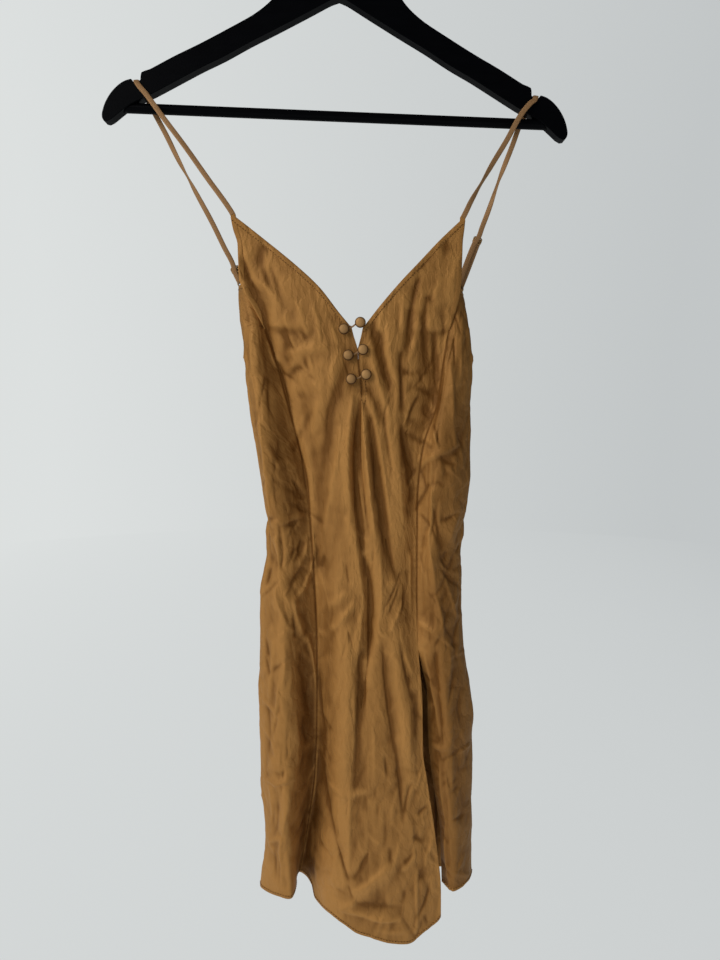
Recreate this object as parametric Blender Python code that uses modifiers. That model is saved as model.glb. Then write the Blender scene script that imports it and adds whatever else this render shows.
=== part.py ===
"""A satin slip dress hanging by its straps from a flat wooden hanger.

Millimetres are used throughout and turned into metres as each mesh is made. X runs to the viewer's
right, Y away from the viewer and Z up. The origin is the inner top of the hanger's hook, where a rod
or a wall hook carries it. Heights are given as a drop below that point.

The dress is worked out from horizontal sections. Each panel has a few stations round the body, each
station is a curve down the dress, and one smooth line through the stations at a given drop is the
panel's section there. Soft folds are then raised on the front and on the back.
"""
import math

import bmesh
import bpy
import numpy as np
from mathutils import Matrix, Vector

MM = 0.001

# Cloth
CLOTH = 1.2                 # wall of one layer of satin
DOUBLED = 1.8               # wall of a binding or a rolled hem
GAP = 0.3                   # between pieces that are sewn together or touch
BINDING_DROP = 7.0          # a 5 mm binding on a slanting edge, measured down the cloth
ARMHOLE_BINDING = 5.0
SLANT_GAP = 0.9             # GAP across a slanting edge, measured down the cloth
TOP_BINDING = 5.5           # binding of the underarm and back edges, measured down the cloth
TUCKED_UNDER = 5.0          # how far the side panel reaches behind the cup above their seam
ROLLED_HEM = 4.0
STRAP_WIDTH = 5.0
STRAP_WALL = 1.2

# Heights of the dress, as drops below the hook
ARMHOLE_LEFT = 421.0        # where the cup's edge meets the princess seam
ARMHOLE_RIGHT = 422.0
NECK_POINT = 417.0          # bottom of the V
SLIT_END = 484.0            # lower end of the centre slit
THIGH_SLIT_TOP = 742.0      # the right princess seam is open below this
THIGH_SLIT_RUN = 55.0       # and the two edges part fully over this much more

# Hanger, upright before it is tilted
HANGER_TILT = 2.2           # degrees, right end lower
HANGER_THICKNESS = 12.0
HANGER_ROUNDING = 2.6
BAR_DROP = 214.0
BAR_RADIUS = 4.75
BAR_HALF_LENGTH = 207.0
HOOK_WIRE_RADIUS = 1.75
HOOK_INNER_RADIUS = 20.0
HANGER_TOP_DROP = 70.0
NOTCH_DROP = 192.3
NOTCH_SLOPE = 5.0          # degrees, of the strap's seat in its notch

# Fastenings
BUTTON_RADIUS = 5.2
BUTTON_HALF_HEIGHT = 3.4
LOOP_RADIUS = 0.7
RING_RADIUS = 4.1
RING_WIRE = 0.7
SLIDER = {"width": 9.0, "depth": 6.4, "height": 6.0, "wall": 1.2}


def table(header, rows):
    """Named columns from a header and one row for each section, seam point or fold."""
    columns = np.array(rows, float).T
    return dict(zip(header.split(), columns))


# Seam lines and free edges, one row for each height
LEFT_EDGE = table("drop x y", [          # cup armhole edge, then the left princess seam
    (311, -108, -28), (325, -105.5, -27.5), (340, -101.5, -27), (355, -101, -27), (372, -100.5, -27.5),
    (385, -95, -28), (400, -87, -28), (421, -77, -28), (450, -67, -26), (490, -56, -24), (530, -46, -23),
    (570, -37, -22.5), (610, -34.5, -22), (660, -31.5, -22), (740, -29, -19), (820, -30, -14),
    (880, -32.5, -9), (940, -40, -4), (1012, -52, -1)])
RIGHT_EDGE = table("drop x y", [         # cup armhole edge, right princess seam, then the slit's front edge
    (314, 116, -28), (325, 115, -28), (340, 113.5, -28), (372, 113, -28), (385, 112, -28),
    (400, 108.5, -28), (422, 102, -28), (450, 97, -29), (490, 91.5, -29), (530, 79, -29), (550, 75.5, -29),
    (590, 73, -28), (660, 73, -28), (740, 75, -31), (790, 79, -35), (850, 80.5, -37), (880, 85, -38),
    (940, 94, -39), (1000, 100.5, -39), (1035, 101, -39)])
SLIT_EDGE = table("drop x y", [          # the side panel's own edge below the top of the slit
    (742, 75.3, -30.5), (760, 79.5, -26), (790, 85.5, -24), (820, 87.5, -24), (850, 90, -25),
    (880, 94, -26), (940, 103, -28), (1006, 104, -28)])

# Front panel between its edges: how far the middle of each half stands out, and the centre line
FRONT = table("drop left_y centre_x centre_y right_y", [
    (311, -31, 12, -34, -31), (372, -35, 12.5, -36, -35), (420, -38, 13, -37, -38), (450, -38, 14, -38, -38),
    (484, -37, 17.5, -38, -37), (530, -35, 17, -38, -36), (600, -34, 20, -37, -36), (680, -35, 22, -37, -37),
    (760, -37, 22, -38, -39), (850, -38, 23, -42, -42), (940, -38, 24, -44, -44), (1057, -37, 26, -46, -46)])

# Side panels behind the princess seams: a ridge, the outer fold, the tuck that the spare width makes
# behind it, the back fold, and the back seam
SIDE_COLUMNS = "drop ridge_x ridge_y fold_x fold_y tuck_x tuck_y turn_x turn_y back_x back_y"
LEFT_SIDE = table(SIDE_COLUMNS, [
    (374, -99.5, -18.5, -102, -12, -104, -4, -104, 5, -103.5, 12),
    (385, -96.5, -21, -102.3, -13, -104.5, -4, -104, 5, -103, 12),
    (395, -93, -23.5, -102.6, -13.5, -104, -4, -103.8, 5, -102.5, 12),
    (408, -88, -26.5, -102.3, -14.5, -102, -4.5, -103.5, 4, -102, 12.5),
    (420, -86, -30, -100.5, -16.5, -98, -5, -102, 4, -101, 13),
    (435, -88, -32, -99, -20, -88, -6, -99, 3, -98, 13),
    (450, -88, -34, -97.5, -22, -76, -6, -96, 3, -94, 13),
    (490, -83, -36, -93.5, -24, -50, -6, -91, 4, -84, 14),
    (530, -77, -37, -87.5, -25, -41, -6, -85, 4, -76, 14),
    (570, -74, -36, -82.5, -24, -36, -6, -79, 4, -68, 14),
    (610, -69, -35, -78.5, -23, -34, -6, -75, 4, -62, 14),
    (640, -66, -35, -78.5, -22, -33, -6, -75, 4, -60, 14),
    (680, -63, -37, -86, -22, -36, -5, -82, 5, -60, 15),
    (740, -61, -40, -87.5, -22, -40, -3, -84, 6, -62, 16),
    (820, -62, -42, -89, -22, -48, 0, -85, 7, -64, 17),
    (880, -65, -43, -88, -22, -56, 1, -84, 8, -66, 17),
    (940, -67, -44, -85, -23, -64, 2, -82, 9, -68, 18),
    (1012, -68, -45, -92, -22, -70, 2, -87, 9, -70, 18)])
RIGHT_SIDE = table(SIDE_COLUMNS, [
    (380, 112, -20, 115.2, -12.5, 116.2, -4, 116.4, 5, 115.5, 12),
    (395, 112.5, -23, 118.7, -13.5, 119.4, -4, 119, 5, 116, 12),
    (408, 111.5, -26.5, 121.6, -14.5, 119.5, -5, 121, 4, 116, 12.5),
    (420, 110, -29.5, 123, -16, 117, -6, 122, 4, 115.5, 13),
    (435, 109, -31, 124.8, -19, 112, -6, 123, 3, 114, 14),
    (450, 108, -33, 125.5, -21, 102, -6, 123, 3, 112, 14),
    (490, 105, -36, 125.5, -22, 80, -6, 121, 4, 104, 14),
    (530, 101, -38, 125.5, -22, 72, -6, 121, 4, 98, 15),
    (570, 101, -38, 126, -22, 68, -6, 121, 4, 94, 15),
    (610, 98, -37, 121.5, -22, 66, -6, 117, 4, 90, 15),
    (640, 98, -36, 118.5, -21, 66, -6, 114, 4, 88, 15),
    (680, 101, -36, 119, -20, 68, -5, 115, 5, 88, 15),
    (740, 104, -38, 123, -20, 74, -3, 119, 5, 90, 16),
    (790, 105, -38, 130.5, -20, 84, -2, 125, 6, 94, 16),
    (820, 106, -38, 134, -18, 92, -1, 128, 6, 96, 17),
    (880, 111, -38, 134, -18, 104, 0, 128, 7, 98, 17),
    (940, 114, -38, 135, -16, 112, 1, 129, 8, 100, 18),
    (1006, 113, -38, 136, -14, 116, 1, 130, 8, 102, 18)])

# Outlines of the upper and lower edges
NECK_LEFT = table("x drop", [
    (-108, 310.5), (-89, 325), (-60, 348), (-42, 363), (-23, 381), (-4, 405), (6, NECK_POINT)])
NECK_RIGHT = table("x drop", [
    (19.8, NECK_POINT), (35, 398), (54, 376), (73, 356), (92, 336), (116, 313.5)])
BACK_TOP = table("x drop", [
    (-104, 374.5), (-88, 398), (-55, 430), (5, 447), (65, 432), (98, 404), (116, 380)])
FRONT_HEM = table("x drop", [
    (-52, 1007), (-44, 1009), (-37, 1013), (-33, 1025), (-16, 1030), (-5, 1036), (12, 1046), (27, 1050),
    (52, 1056), (67, 1057), (83, 1047), (98, 1036), (102, 1030)])
SIDE_ENDS = table("station left_top left_hem right_top right_hem", [
    (0, 380, 1007, 383, 997), (1, 378, 1006, 382, 1001), (2, 376.5, 1007, 381, 1005),
    (3, 376, 1001, 380.5, 999), (4, 375, 998, 380, 996), (5, 374.5, 996, 380, 994)])
BACK_HEM = table("x drop", [(-72, 996), (15, 1001), (103, 994)])

# Half width of the centre slit
SLIT_GAP = table("drop half", [
    (NECK_POINT, 6.6), (430, 4.9), (441, 1.0), (455, 0.55), (SLIT_END - 0.1, 0.55), (SLIT_END, 0.0)])

# Folds: each runs along a bent line of three points. Height is positive for a ridge towards the
# outside and negative for a valley, and width is how far each flank reaches.
FOLD_COLUMNS = "x1 drop1 x2 drop2 x3 drop3 height width"
FRONT_FOLDS = table(FOLD_COLUMNS, [
    (-99, 330, -91, 365, -80, 420, 4.0, 6),        # left cup, beside the armhole
    (-86, 330, -79, 370, -70, 425, -2.5, 6),
    (-60, 436, -39, 441, -13, 438, 1.5, 6),        # left bust
    (-57, 462, -44, 444, -36, 436, -1.5, 6),
    (1, 505, 3, 580, 12, 670, 4.0, 10),            # fan of long folds below the slit
    (11, 500, 14, 590, 25, 690, -6.0, 7),
    (21, 500, 27, 565, 34, 665, 3.5, 6),
    (34, 495, 40, 560, 50, 650, -4.5, 8),
    (40, 480, 51, 556, 61, 650, 3.0, 7),
    (26, 700, 16, 760, 10, 860, -5.0, 7),          # the same folds below the waist
    (4, 700, 2, 800, -4, 960, 3.0, 9),
    (9, 880, 7, 930, 5, 985, -3.0, 6),
    (36, 728, 48, 812, 60, 912, -3.0, 8),
    (46, 700, 58, 800, 72, 900, 3.0, 8),
    (-26, 867, -12, 934, 3, 990, -3.0, 7),
    (-15, 882, 5, 891, 22, 884, 1.5, 6),
    (72, 982, 74, 1012, 75, 1046, 2.0, 5),         # bottom front
    (10, 1010, 28, 991, 52, 970, 2.5, 8),
    (-10, 1023, 5, 1018, 26, 1026, -3.0, 8),
    (54, 464, 57, 488, 50, 514, -3.0, 6),          # right bust
    (71, 398, 81, 440, 89, 470, -3.0, 6),
    (30, 421, 40, 454, 54, 490, 2.5, 6),
    (66, 420, 68, 450, 72, 480, 2.5, 6),
    (-74, 614, -57, 609, -38, 604, -3.0, 5),       # left side
    (-31, 653, -51, 687, -31, 763, 3.5, 7),
    (-66, 676, -61, 696, -55, 717, 2.5, 5),
    (-82, 879, -66, 874, -46, 870, -2.0, 5),
    (-80, 950, -74, 944, -66, 940, -2.0, 5),
    (76, 548, 94, 541, 116, 532, -3.0, 6),         # right side
    (89, 571, 80, 598, 74, 612, -2.5, 6),
    (84, 616, 98, 662, 116, 729, 2.5, 7),
    (78, 717, 97, 722, 118, 741, -2.0, 5)])
BACK_FOLDS = table(FOLD_COLUMNS, [
    (-70, 450, -48, 600, -44, 980, 4.0, 12),
    (-30, 470, -22, 640, -24, 985, -4.0, 12),
    (8, 470, 6, 640, 0, 985, 3.5, 14),
    (46, 470, 34, 640, 38, 985, -4.0, 12),
    (84, 450, 62, 600, 70, 980, 4.0, 12)])

# Straps: from the cup's point over the notch and down the back, through the slider, round the ring
# and back up to the slider. Turn is the ribbon's twist in degrees.
STRAP_COLUMNS = "x y drop turn"
LEFT_STRAP = table(STRAP_COLUMNS, [
    (-107.2, -28.2, 309.2, 0), (-130, -23, 277.5, 0), (-151, -18.5, 248, 8), (-173, -13.5, 219, 0),
    (-190, -9.6, 196, 0), (-197.5, -7.8, 187, 0), (-199.8, -5.2, 182.6, 0), (-200.1, 0, 181.6, 0),
    (-199.8, 5.2, 182.6, 0), (-197, 7.9, 187.6, 0), (-186, 9.4, 209, 0), (-176, 10, 228, 0),
    (-165, 10.3, 251, 25), (-156.5, 10.5, 267, 65), (-148, 10.7, 283, 25), (-133, 11, 311, 0),
    (-121.5, 11, 335, 0)])
RIGHT_STRAP = table(STRAP_COLUMNS, [
    (115.2, -28.2, 312.4, 0), (121, -26.5, 300.5, 20), (131, -23, 283, 65), (142, -19.5, 264, 20),
    (156, -15, 241, 0), (170, -11.5, 216, 0), (180, -9, 204, 0), (183.6, -7.8, 201.2, 0),
    (185.2, -5.2, 197, 0), (185.4, 0, 196, 0), (185.2, 5.2, 197, 0), (182.6, 7.9, 202, 0),
    (174, 9.2, 217, 0), (166.5, 9.8, 238, 0), (158.8, 10.3, 258, 25), (153.2, 10.6, 273, 65),
    (145, 10.8, 298, 20), (138, 10.9, 317, 0)])
STRAP_PLACES = table("slider_x slider_drop ring_x ring_drop", [
    (-110.8, 357.0, -104.4, 370.2), (134.0, 328.4, 116.2, 376.0)])
STRAP_DEPTH = 12.0                       # y of the slider and the ring, between the strap's two layers
RING_TURN = table("along y", [      # the strap's way round the ring's wire, from the wire's middle
    (-1.2, -1.7), (1.4, -1.6), (2.6, -1.0), (3.0, 0), (2.6, 1.0), (1.4, 1.6), (-1.2, 1.7)])
LAYER = 1.1                              # each layer's distance from that depth, inside the slider

# Buttons sit in pairs on either side of the slit: the column gives each one's centre
BUTTONS = table("left_x left_drop right_x right_drop", [
    (0.4, 420.5, 15.9, 414.3), (4.4, 445.0, 18.4, 439.8), (7.2, 467.6, 21.5, 463.3)])

# Half of the hanger's outline, from the top centre out to the tip and back along the underside
HANGER_HALF = [
    (0, 70), (14, 71), (28, 76), (42, 86), (52, 97.5), (62, 111), (70, 118.8), (82, 127.6), (105, 140.5),
    (131, 154.5), (156, 167), (179, 179.5), (184, 181.2), (187.3, 182.8), (188, 185.5), (188.3, 189.5),
    (191.5, NOTCH_DROP), (195, 191.6), (197.2, 189), (203, 190.8), (209, 194.5), (216.5, 202), (222.5, 212),
    (225.3, 222), (225, 227.2), (222, 230), (216, 226.5), (198, 212.5), (175, 201), (131, 177), (108, 165.5),
    (84, 152), (59, 139), (30, 123.5), (8, 111.5), (0, 108.5)]

MATERIALS = {                            # base colour, roughness, metallic
    "satin": ((0.36, 0.165, 0.05), 0.42, 0.0),
    "strap_satin": ((0.40, 0.19, 0.075), 0.45, 0.0),
    "button_satin": ((0.42, 0.20, 0.075), 0.45, 0.0),
    "black_wood": ((0.008, 0.009, 0.011), 0.35, 0.0),
    "steel": ((0.62, 0.62, 0.62), 0.25, 1.0),
    "gilt": ((0.75, 0.62, 0.42), 0.3, 1.0),
}


def smooth(at, knots, values):
    """Cubic through the values that never passes a value's own height between two knots."""
    knots = np.asarray(knots, float)
    values = np.asarray(values, float)
    step = np.diff(knots)
    rise = np.diff(values) / step
    slope = np.zeros_like(values)
    same_way = rise[1:] * rise[:-1] > 0
    total = np.where(same_way, rise[1:] + rise[:-1], 1.0)
    slope[1:-1] = np.where(same_way, 2 * rise[1:] * rise[:-1] / total, 0.0)
    slope[0], slope[-1] = rise[0], rise[-1]
    at = np.clip(at, knots[0], knots[-1])
    i = np.clip(np.searchsorted(knots, at, side="right") - 1, 0, len(step) - 1)
    f = (at - knots[i]) / step[i]
    g = 1 - f
    return (values[i] * g * g * (1 + 2 * f) + values[i + 1] * f * f * (1 + 2 * g)
            + step[i] * f * g * (slope[i] * g - slope[i + 1] * f))


def ramp(at, start, end):
    """0 before start, 1 after end, smooth between."""
    f = np.clip((at - start) / (end - start), 0, 1)
    return f * f * (3 - 2 * f)


def station(rows, x, y):
    """A curve down the dress: for each drop, its x and y."""
    def place(drop):
        return np.stack([smooth(drop, rows["drop"], rows[x]), smooth(drop, rows["drop"], rows[y])], -1)
    return place


def fold_height(x, drop, folds):
    """Sum of the folds at each point: a soft crest along each fold's line, fading at its ends."""
    total = np.zeros(np.broadcast(x, drop).shape)
    steps = np.linspace(0, 1, 13)[:, None]
    for n in range(len(folds["x1"])):
        fold = {name: column[n] for name, column in folds.items()}
        start = np.array([fold["x1"], fold["drop1"]])
        middle = np.array([fold["x2"], fold["drop2"]])
        end = np.array([fold["x3"], fold["drop3"]])
        bend = 2 * middle - (start + end) / 2
        line = (1 - steps) ** 2 * start + 2 * steps * (1 - steps) * bend + steps ** 2 * end
        nearest = np.full(total.shape, np.inf)
        along = np.zeros(total.shape)
        for k in range(len(line) - 1):
            run = line[k + 1] - line[k]
            reach = ((x - line[k, 0]) * run[0] + (drop - line[k, 1]) * run[1]) / (run @ run)
            reach = np.clip(reach, 0, 1)
            away = np.hypot(x - line[k, 0] - reach * run[0], drop - line[k, 1] - reach * run[1])
            closer = away < nearest
            nearest = np.where(closer, away, nearest)
            along = np.where(closer, (k + reach) / (len(line) - 1), along)
        fade = np.sqrt(np.clip(4 * along * (1 - along), 0, 1))
        total += fold["height"] * fade * np.exp(-(nearest / fold["width"]) ** 2)
    return total


class Panel:
    """One panel: a smooth section through its stations at every drop, with folds raised on it."""

    def __init__(self, stations, before, after, joined_before, joined_after, folds, fold_side, fold_end):
        self.stations = stations
        self.before, self.after = before, after
        self.joined_before, self.joined_after = joined_before, joined_after
        self.folds, self.fold_side, self.fold_end = folds, fold_side, fold_end
        self.last = len(stations) - 1

    def ring(self, drop):
        """The stations at each drop, with one more at each end to steer the curve past a seam."""
        here = [place(drop) for place in self.stations]
        free_start = 2 * here[0] - here[1]
        free_end = 2 * here[-1] - here[-2]
        w0 = self.joined_before(drop)[..., None]
        w1 = self.joined_after(drop)[..., None]
        start = free_start + w0 * (self.before(drop) - free_start)
        end = free_end + w1 * (self.after(drop) - free_end)
        return np.stack([start] + here + [end])

    def section(self, s, drop):
        """Plan position for station numbers s and drops, before the folds."""
        s, drop = np.broadcast_arrays(np.asarray(s, float), np.asarray(drop, float))
        ring = self.ring(drop)
        chord = np.linalg.norm(np.diff(ring, axis=0), axis=-1)[..., None]
        way = np.diff(ring, axis=0) / chord
        tangent = (way[1:] * chord[:-1] + way[:-1] * chord[1:]) / (chord[1:] + chord[:-1])
        i = np.clip(np.floor(s).astype(int), 0, self.last - 1)
        f = (s - i)[..., None]
        g = 1 - f

        def pick(values, index):
            return np.take_along_axis(values, index[None, ..., None], axis=0)[0]

        a, b = pick(ring, i + 1), pick(ring, i + 2)
        length = pick(chord, i + 1)
        xy = (a * g * g * (1 + 2 * f) + b * f * f * (1 + 2 * g)
              + length * f * g * (pick(tangent, i) * g - pick(tangent, i + 1) * f))
        return xy[..., 0], xy[..., 1]

    def points(self, s, drop):
        """World points in millimetres, folds included."""
        s, drop = np.broadcast_arrays(np.asarray(s, float), np.asarray(drop, float))
        x, y = self.section(s, drop)
        weight = 1 - ramp(s, self.fold_end - 0.8, self.fold_end) if self.fold_end else 1.0
        y = y + self.fold_side * weight * fold_height(x, drop, self.folds)
        return np.stack([x, y, -drop], -1)

    def setback(self, drop, end):
        """How much of a station step to leave free at a seam, so that the walls stay GAP apart."""
        drop = np.asarray(drop, float)
        ring = self.ring(drop)
        k = 1 if end == 0 else self.last + 1
        before = ring[k] - ring[k - 1]
        after = ring[k + 1] - ring[k]
        bend = np.arctan2(before[..., 0] * after[..., 1] - before[..., 1] * after[..., 0],
                          (before * after).sum(-1))
        step = np.linalg.norm(after if end == 0 else before, axis=-1)
        return (GAP / 2 + 0.1 + DOUBLED / 2 * np.tan(np.minimum(np.abs(bend), 1.7) / 2)) / step


def front_swell(edge, column):
    """Station in the middle of one half of the front panel."""
    def place(drop):
        x = (smooth(drop, edge["drop"], edge["x"]) + smooth(drop, FRONT["drop"], FRONT["centre_x"])) / 2
        return np.stack([x, smooth(drop, FRONT["drop"], FRONT[column])], -1)
    return place


def back_station(share, depth):
    """Station on the back panel, a share of the way from its left seam to its right one."""
    left, right = station(LEFT_SIDE, "back_x", "back_y"), station(RIGHT_SIDE, "back_x", "back_y")

    def place(drop):
        here = left(drop) * (1 - share) + right(drop) * share
        return here + np.array([0.0, depth])
    return place


def side_stations(rows, edge):
    names = ("ridge", "fold", "tuck", "turn", "back")
    return [station(edge, "x", "y")] + [station(rows, f"{name}_x", f"{name}_y") for name in names]


def under_cup(edge, armhole, inward):
    """A side panel's front edge: behind the cup's edge above their seam, then the seam itself."""
    seam = station(edge, "x", "y")

    def place(drop):
        back = TUCKED_UNDER * (1 - ramp(drop, armhole - 8, armhole + 1))
        return seam(drop) + back[..., None] * np.array([inward, 1.0])
    return place


def slit_edge():
    """The right side panel's front edge: the princess seam, then its own edge of the thigh slit."""
    seam, own = under_cup(RIGHT_EDGE, ARMHOLE_RIGHT, -1.0), station(SLIT_EDGE, "x", "y")

    def place(drop):
        return np.where((drop < THIGH_SLIT_TOP)[..., None], seam(drop), own(drop))
    return place


def always(drop):
    return np.ones_like(drop)


def joined_left(drop):
    return ramp(drop, ARMHOLE_LEFT - 8, ARMHOLE_LEFT)


def joined_right(drop):
    return ramp(drop, ARMHOLE_RIGHT - 8, ARMHOLE_RIGHT) * joined_above_slit(drop)


def joined_above_slit(drop):
    return 1 - ramp(drop, THIGH_SLIT_TOP - THIGH_SLIT_RUN, THIGH_SLIT_TOP)


def make_panels():
    left = side_stations(LEFT_SIDE, LEFT_EDGE)
    right = side_stations(RIGHT_SIDE, RIGHT_EDGE)
    left[0] = under_cup(LEFT_EDGE, ARMHOLE_LEFT, 1.0)
    right[0] = slit_edge()
    front = [station(LEFT_EDGE, "x", "y"), front_swell(LEFT_EDGE, "left_y"),
             station(FRONT, "centre_x", "centre_y"), front_swell(RIGHT_EDGE, "right_y"),
             station(RIGHT_EDGE, "x", "y")]
    back = [back_station(share, depth) for share, depth in ((0, 0), (0.3, 2), (0.7, 2), (1, 0))]
    return {
        "front": Panel(front, left[1], right[1], joined_left, joined_right, FRONT_FOLDS, -1, None),
        "side_left": Panel(left, front[1], back[1], joined_left, always, FRONT_FOLDS, -1, 2.0),
        "side_right": Panel(right, front[3], back[2], joined_right, always, FRONT_FOLDS, -1, 2.0),
        "back": Panel(back, left[4], right[4], always, always, BACK_FOLDS, 1, None),
    }


def by_x(rows, extra=0.0):
    """An edge drawn as drop against x."""
    return lambda s, x: smooth(x, rows["x"], rows["drop"]) + extra


def by_station(column, extra=0.0):
    """An edge drawn as drop against the station number."""
    return lambda s, x: smooth(s, SIDE_ENDS["station"], SIDE_ENDS[column]) + extra


def settle(panel, fractions, s_from, s_to, edge):
    """Drop of each column's end: the point of that column that lies on the edge's line."""
    drop = np.full(np.shape(fractions), 600.0)
    for _ in range(40):
        s = s_from(drop) + fractions * (s_to(drop) - s_from(drop))
        x = panel.section(s, drop)[0]
        drop = 0.5 * drop + 0.5 * edge(s, x)
    return drop


def cloth_grid(panel, fractions, rows, s_from, s_to, upper, lower):
    """Points of a piece of a panel: columns at the given fractions between two stations, and rows
    evenly spaced from the upper edge to the lower one."""
    fractions = np.asarray(fractions, float)[None, :]
    top = settle(panel, fractions, s_from, s_to, upper)
    bottom = settle(panel, fractions, s_from, s_to, lower)
    drop = top + (bottom - top) * np.linspace(0, 1, rows + 1)[:, None]
    s = s_from(drop) + fractions * (s_to(drop) - s_from(drop))
    return panel.points(s, drop)


def material(name):
    colour, roughness, metallic = MATERIALS[name]
    made = bpy.data.materials.get(name)
    if made is None:
        made = bpy.data.materials.new(name)
        made.use_nodes = True
        shader = made.node_tree.nodes["Principled BSDF"]
        shader.inputs["Base Color"].default_value = (*colour, 1)
        shader.inputs["Roughness"].default_value = roughness
        shader.inputs["Metallic"].default_value = metallic
    return made


def add_object(name, mesh, finish, collection):
    mesh.materials.append(material(finish))
    made = bpy.data.objects.new(name, mesh)
    collection.objects.link(made)
    return made


def solidify(made, wall):
    thick = made.modifiers.new("wall", "SOLIDIFY")
    thick.thickness = wall * MM
    thick.offset = 0
    thick.use_quality_normals = True


def cloth_object(name, grids, wall, finish, collection):
    """Open surface from one or more grids of points, welded where they share points, with a wall."""
    build = bmesh.new()
    for points in grids:
        rows, columns = points.shape[:2]
        verts = [[build.verts.new(points[i, j] * MM) for j in range(columns)] for i in range(rows)]
        for i in range(rows - 1):
            for j in range(columns - 1):
                build.faces.new((verts[i][j], verts[i + 1][j], verts[i + 1][j + 1], verts[i][j + 1]))
    bmesh.ops.remove_doubles(build, verts=build.verts, dist=1e-6)
    mesh = bpy.data.meshes.new(name)
    build.to_mesh(mesh)
    build.free()
    mesh.shade_smooth()
    made = add_object(name, mesh, finish, collection)
    solidify(made, wall)
    return made


def level(value):
    return lambda drop: np.full_like(drop, value)


def make_front(panels, cloth):
    """Front panel with its slit, neck bindings, cup armhole bindings and rolled hem."""
    panel = panels["front"]
    columns = np.linspace(0, 1, 11)

    def chord(drop, a, b):
        ring = panel.ring(drop)
        return np.linalg.norm(ring[a + 1] - ring[b + 1], axis=-1)

    def slit(drop):
        return smooth(drop, SLIT_GAP["drop"], SLIT_GAP["half"]) / chord(drop, 1, 2)

    def band_left(drop):
        return ARMHOLE_BINDING * (1 - ramp(drop, ARMHOLE_LEFT - 22, ARMHOLE_LEFT)) / chord(drop, 0, 1)

    def band_right(drop):
        return ARMHOLE_BINDING * (1 - ramp(drop, ARMHOLE_RIGHT - 22, ARMHOLE_RIGHT)) / chord(drop, 3, 4)

    def left_side(drop):
        return np.maximum(panel.setback(drop, 0), band_left(drop) + SLANT_GAP / chord(drop, 0, 1))

    def right_side(drop):
        return 4 - np.maximum(panel.setback(drop, 1), band_right(drop) + SLANT_GAP / chord(drop, 3, 4))

    def inner_left(drop):
        return 2 - slit(drop)

    def inner_right(drop):
        return 2 + slit(drop)

    neck = {"left": NECK_LEFT, "right": NECK_RIGHT}
    sides = {"left": (left_side, inner_left), "right": (inner_right, right_side)}
    below = BINDING_DROP + SLANT_GAP
    halves = [cloth_grid(panel, columns, 42, *sides[side], by_x(neck[side], below),
                         by_x(FRONT_HEM, -ROLLED_HEM - GAP)) for side in sides]
    cloth_object("front_panel", halves, CLOTH, "satin", cloth)
    hems = [cloth_grid(panel, columns, 1, *sides[side], by_x(FRONT_HEM, -ROLLED_HEM), by_x(FRONT_HEM))
            for side in sides]
    cloth_object("hem_front", hems, DOUBLED, "satin", cloth)

    outer = {"left": (level(0.0), inner_left), "right": (inner_right, level(4.0))}
    for side in sides:
        strip = cloth_grid(panel, columns, 1, *outer[side], by_x(neck[side]), by_x(neck[side], BINDING_DROP))
        cloth_object(f"neck_binding_{side}", [strip], DOUBLED, "satin", cloth)

    armholes = {
        "left": (level(0.0), band_left, halves[0][:, 0], ARMHOLE_LEFT),
        "right": (lambda drop: 4 - band_right(drop), level(4.0), halves[1][:, -1], ARMHOLE_RIGHT),
    }
    for side, (start, end, beside, bottom) in armholes.items():
        top = settle(panel, np.array([[0.0, 1.0]]), start, end, by_x(neck[side], below))
        rows = -beside[:, 2]
        rows = rows[(rows > top.max() + 4) & (rows < bottom - 10)]
        drop = np.concatenate([top, np.repeat(rows[:, None], 2, 1), np.full((1, 2), bottom - 5)])
        s = start(drop) + np.array([0.0, 1.0]) * (end(drop) - start(drop))
        cloth_object(f"cup_armhole_binding_{side}", [panel.points(s, drop)], DOUBLED, "satin", cloth)


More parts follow.
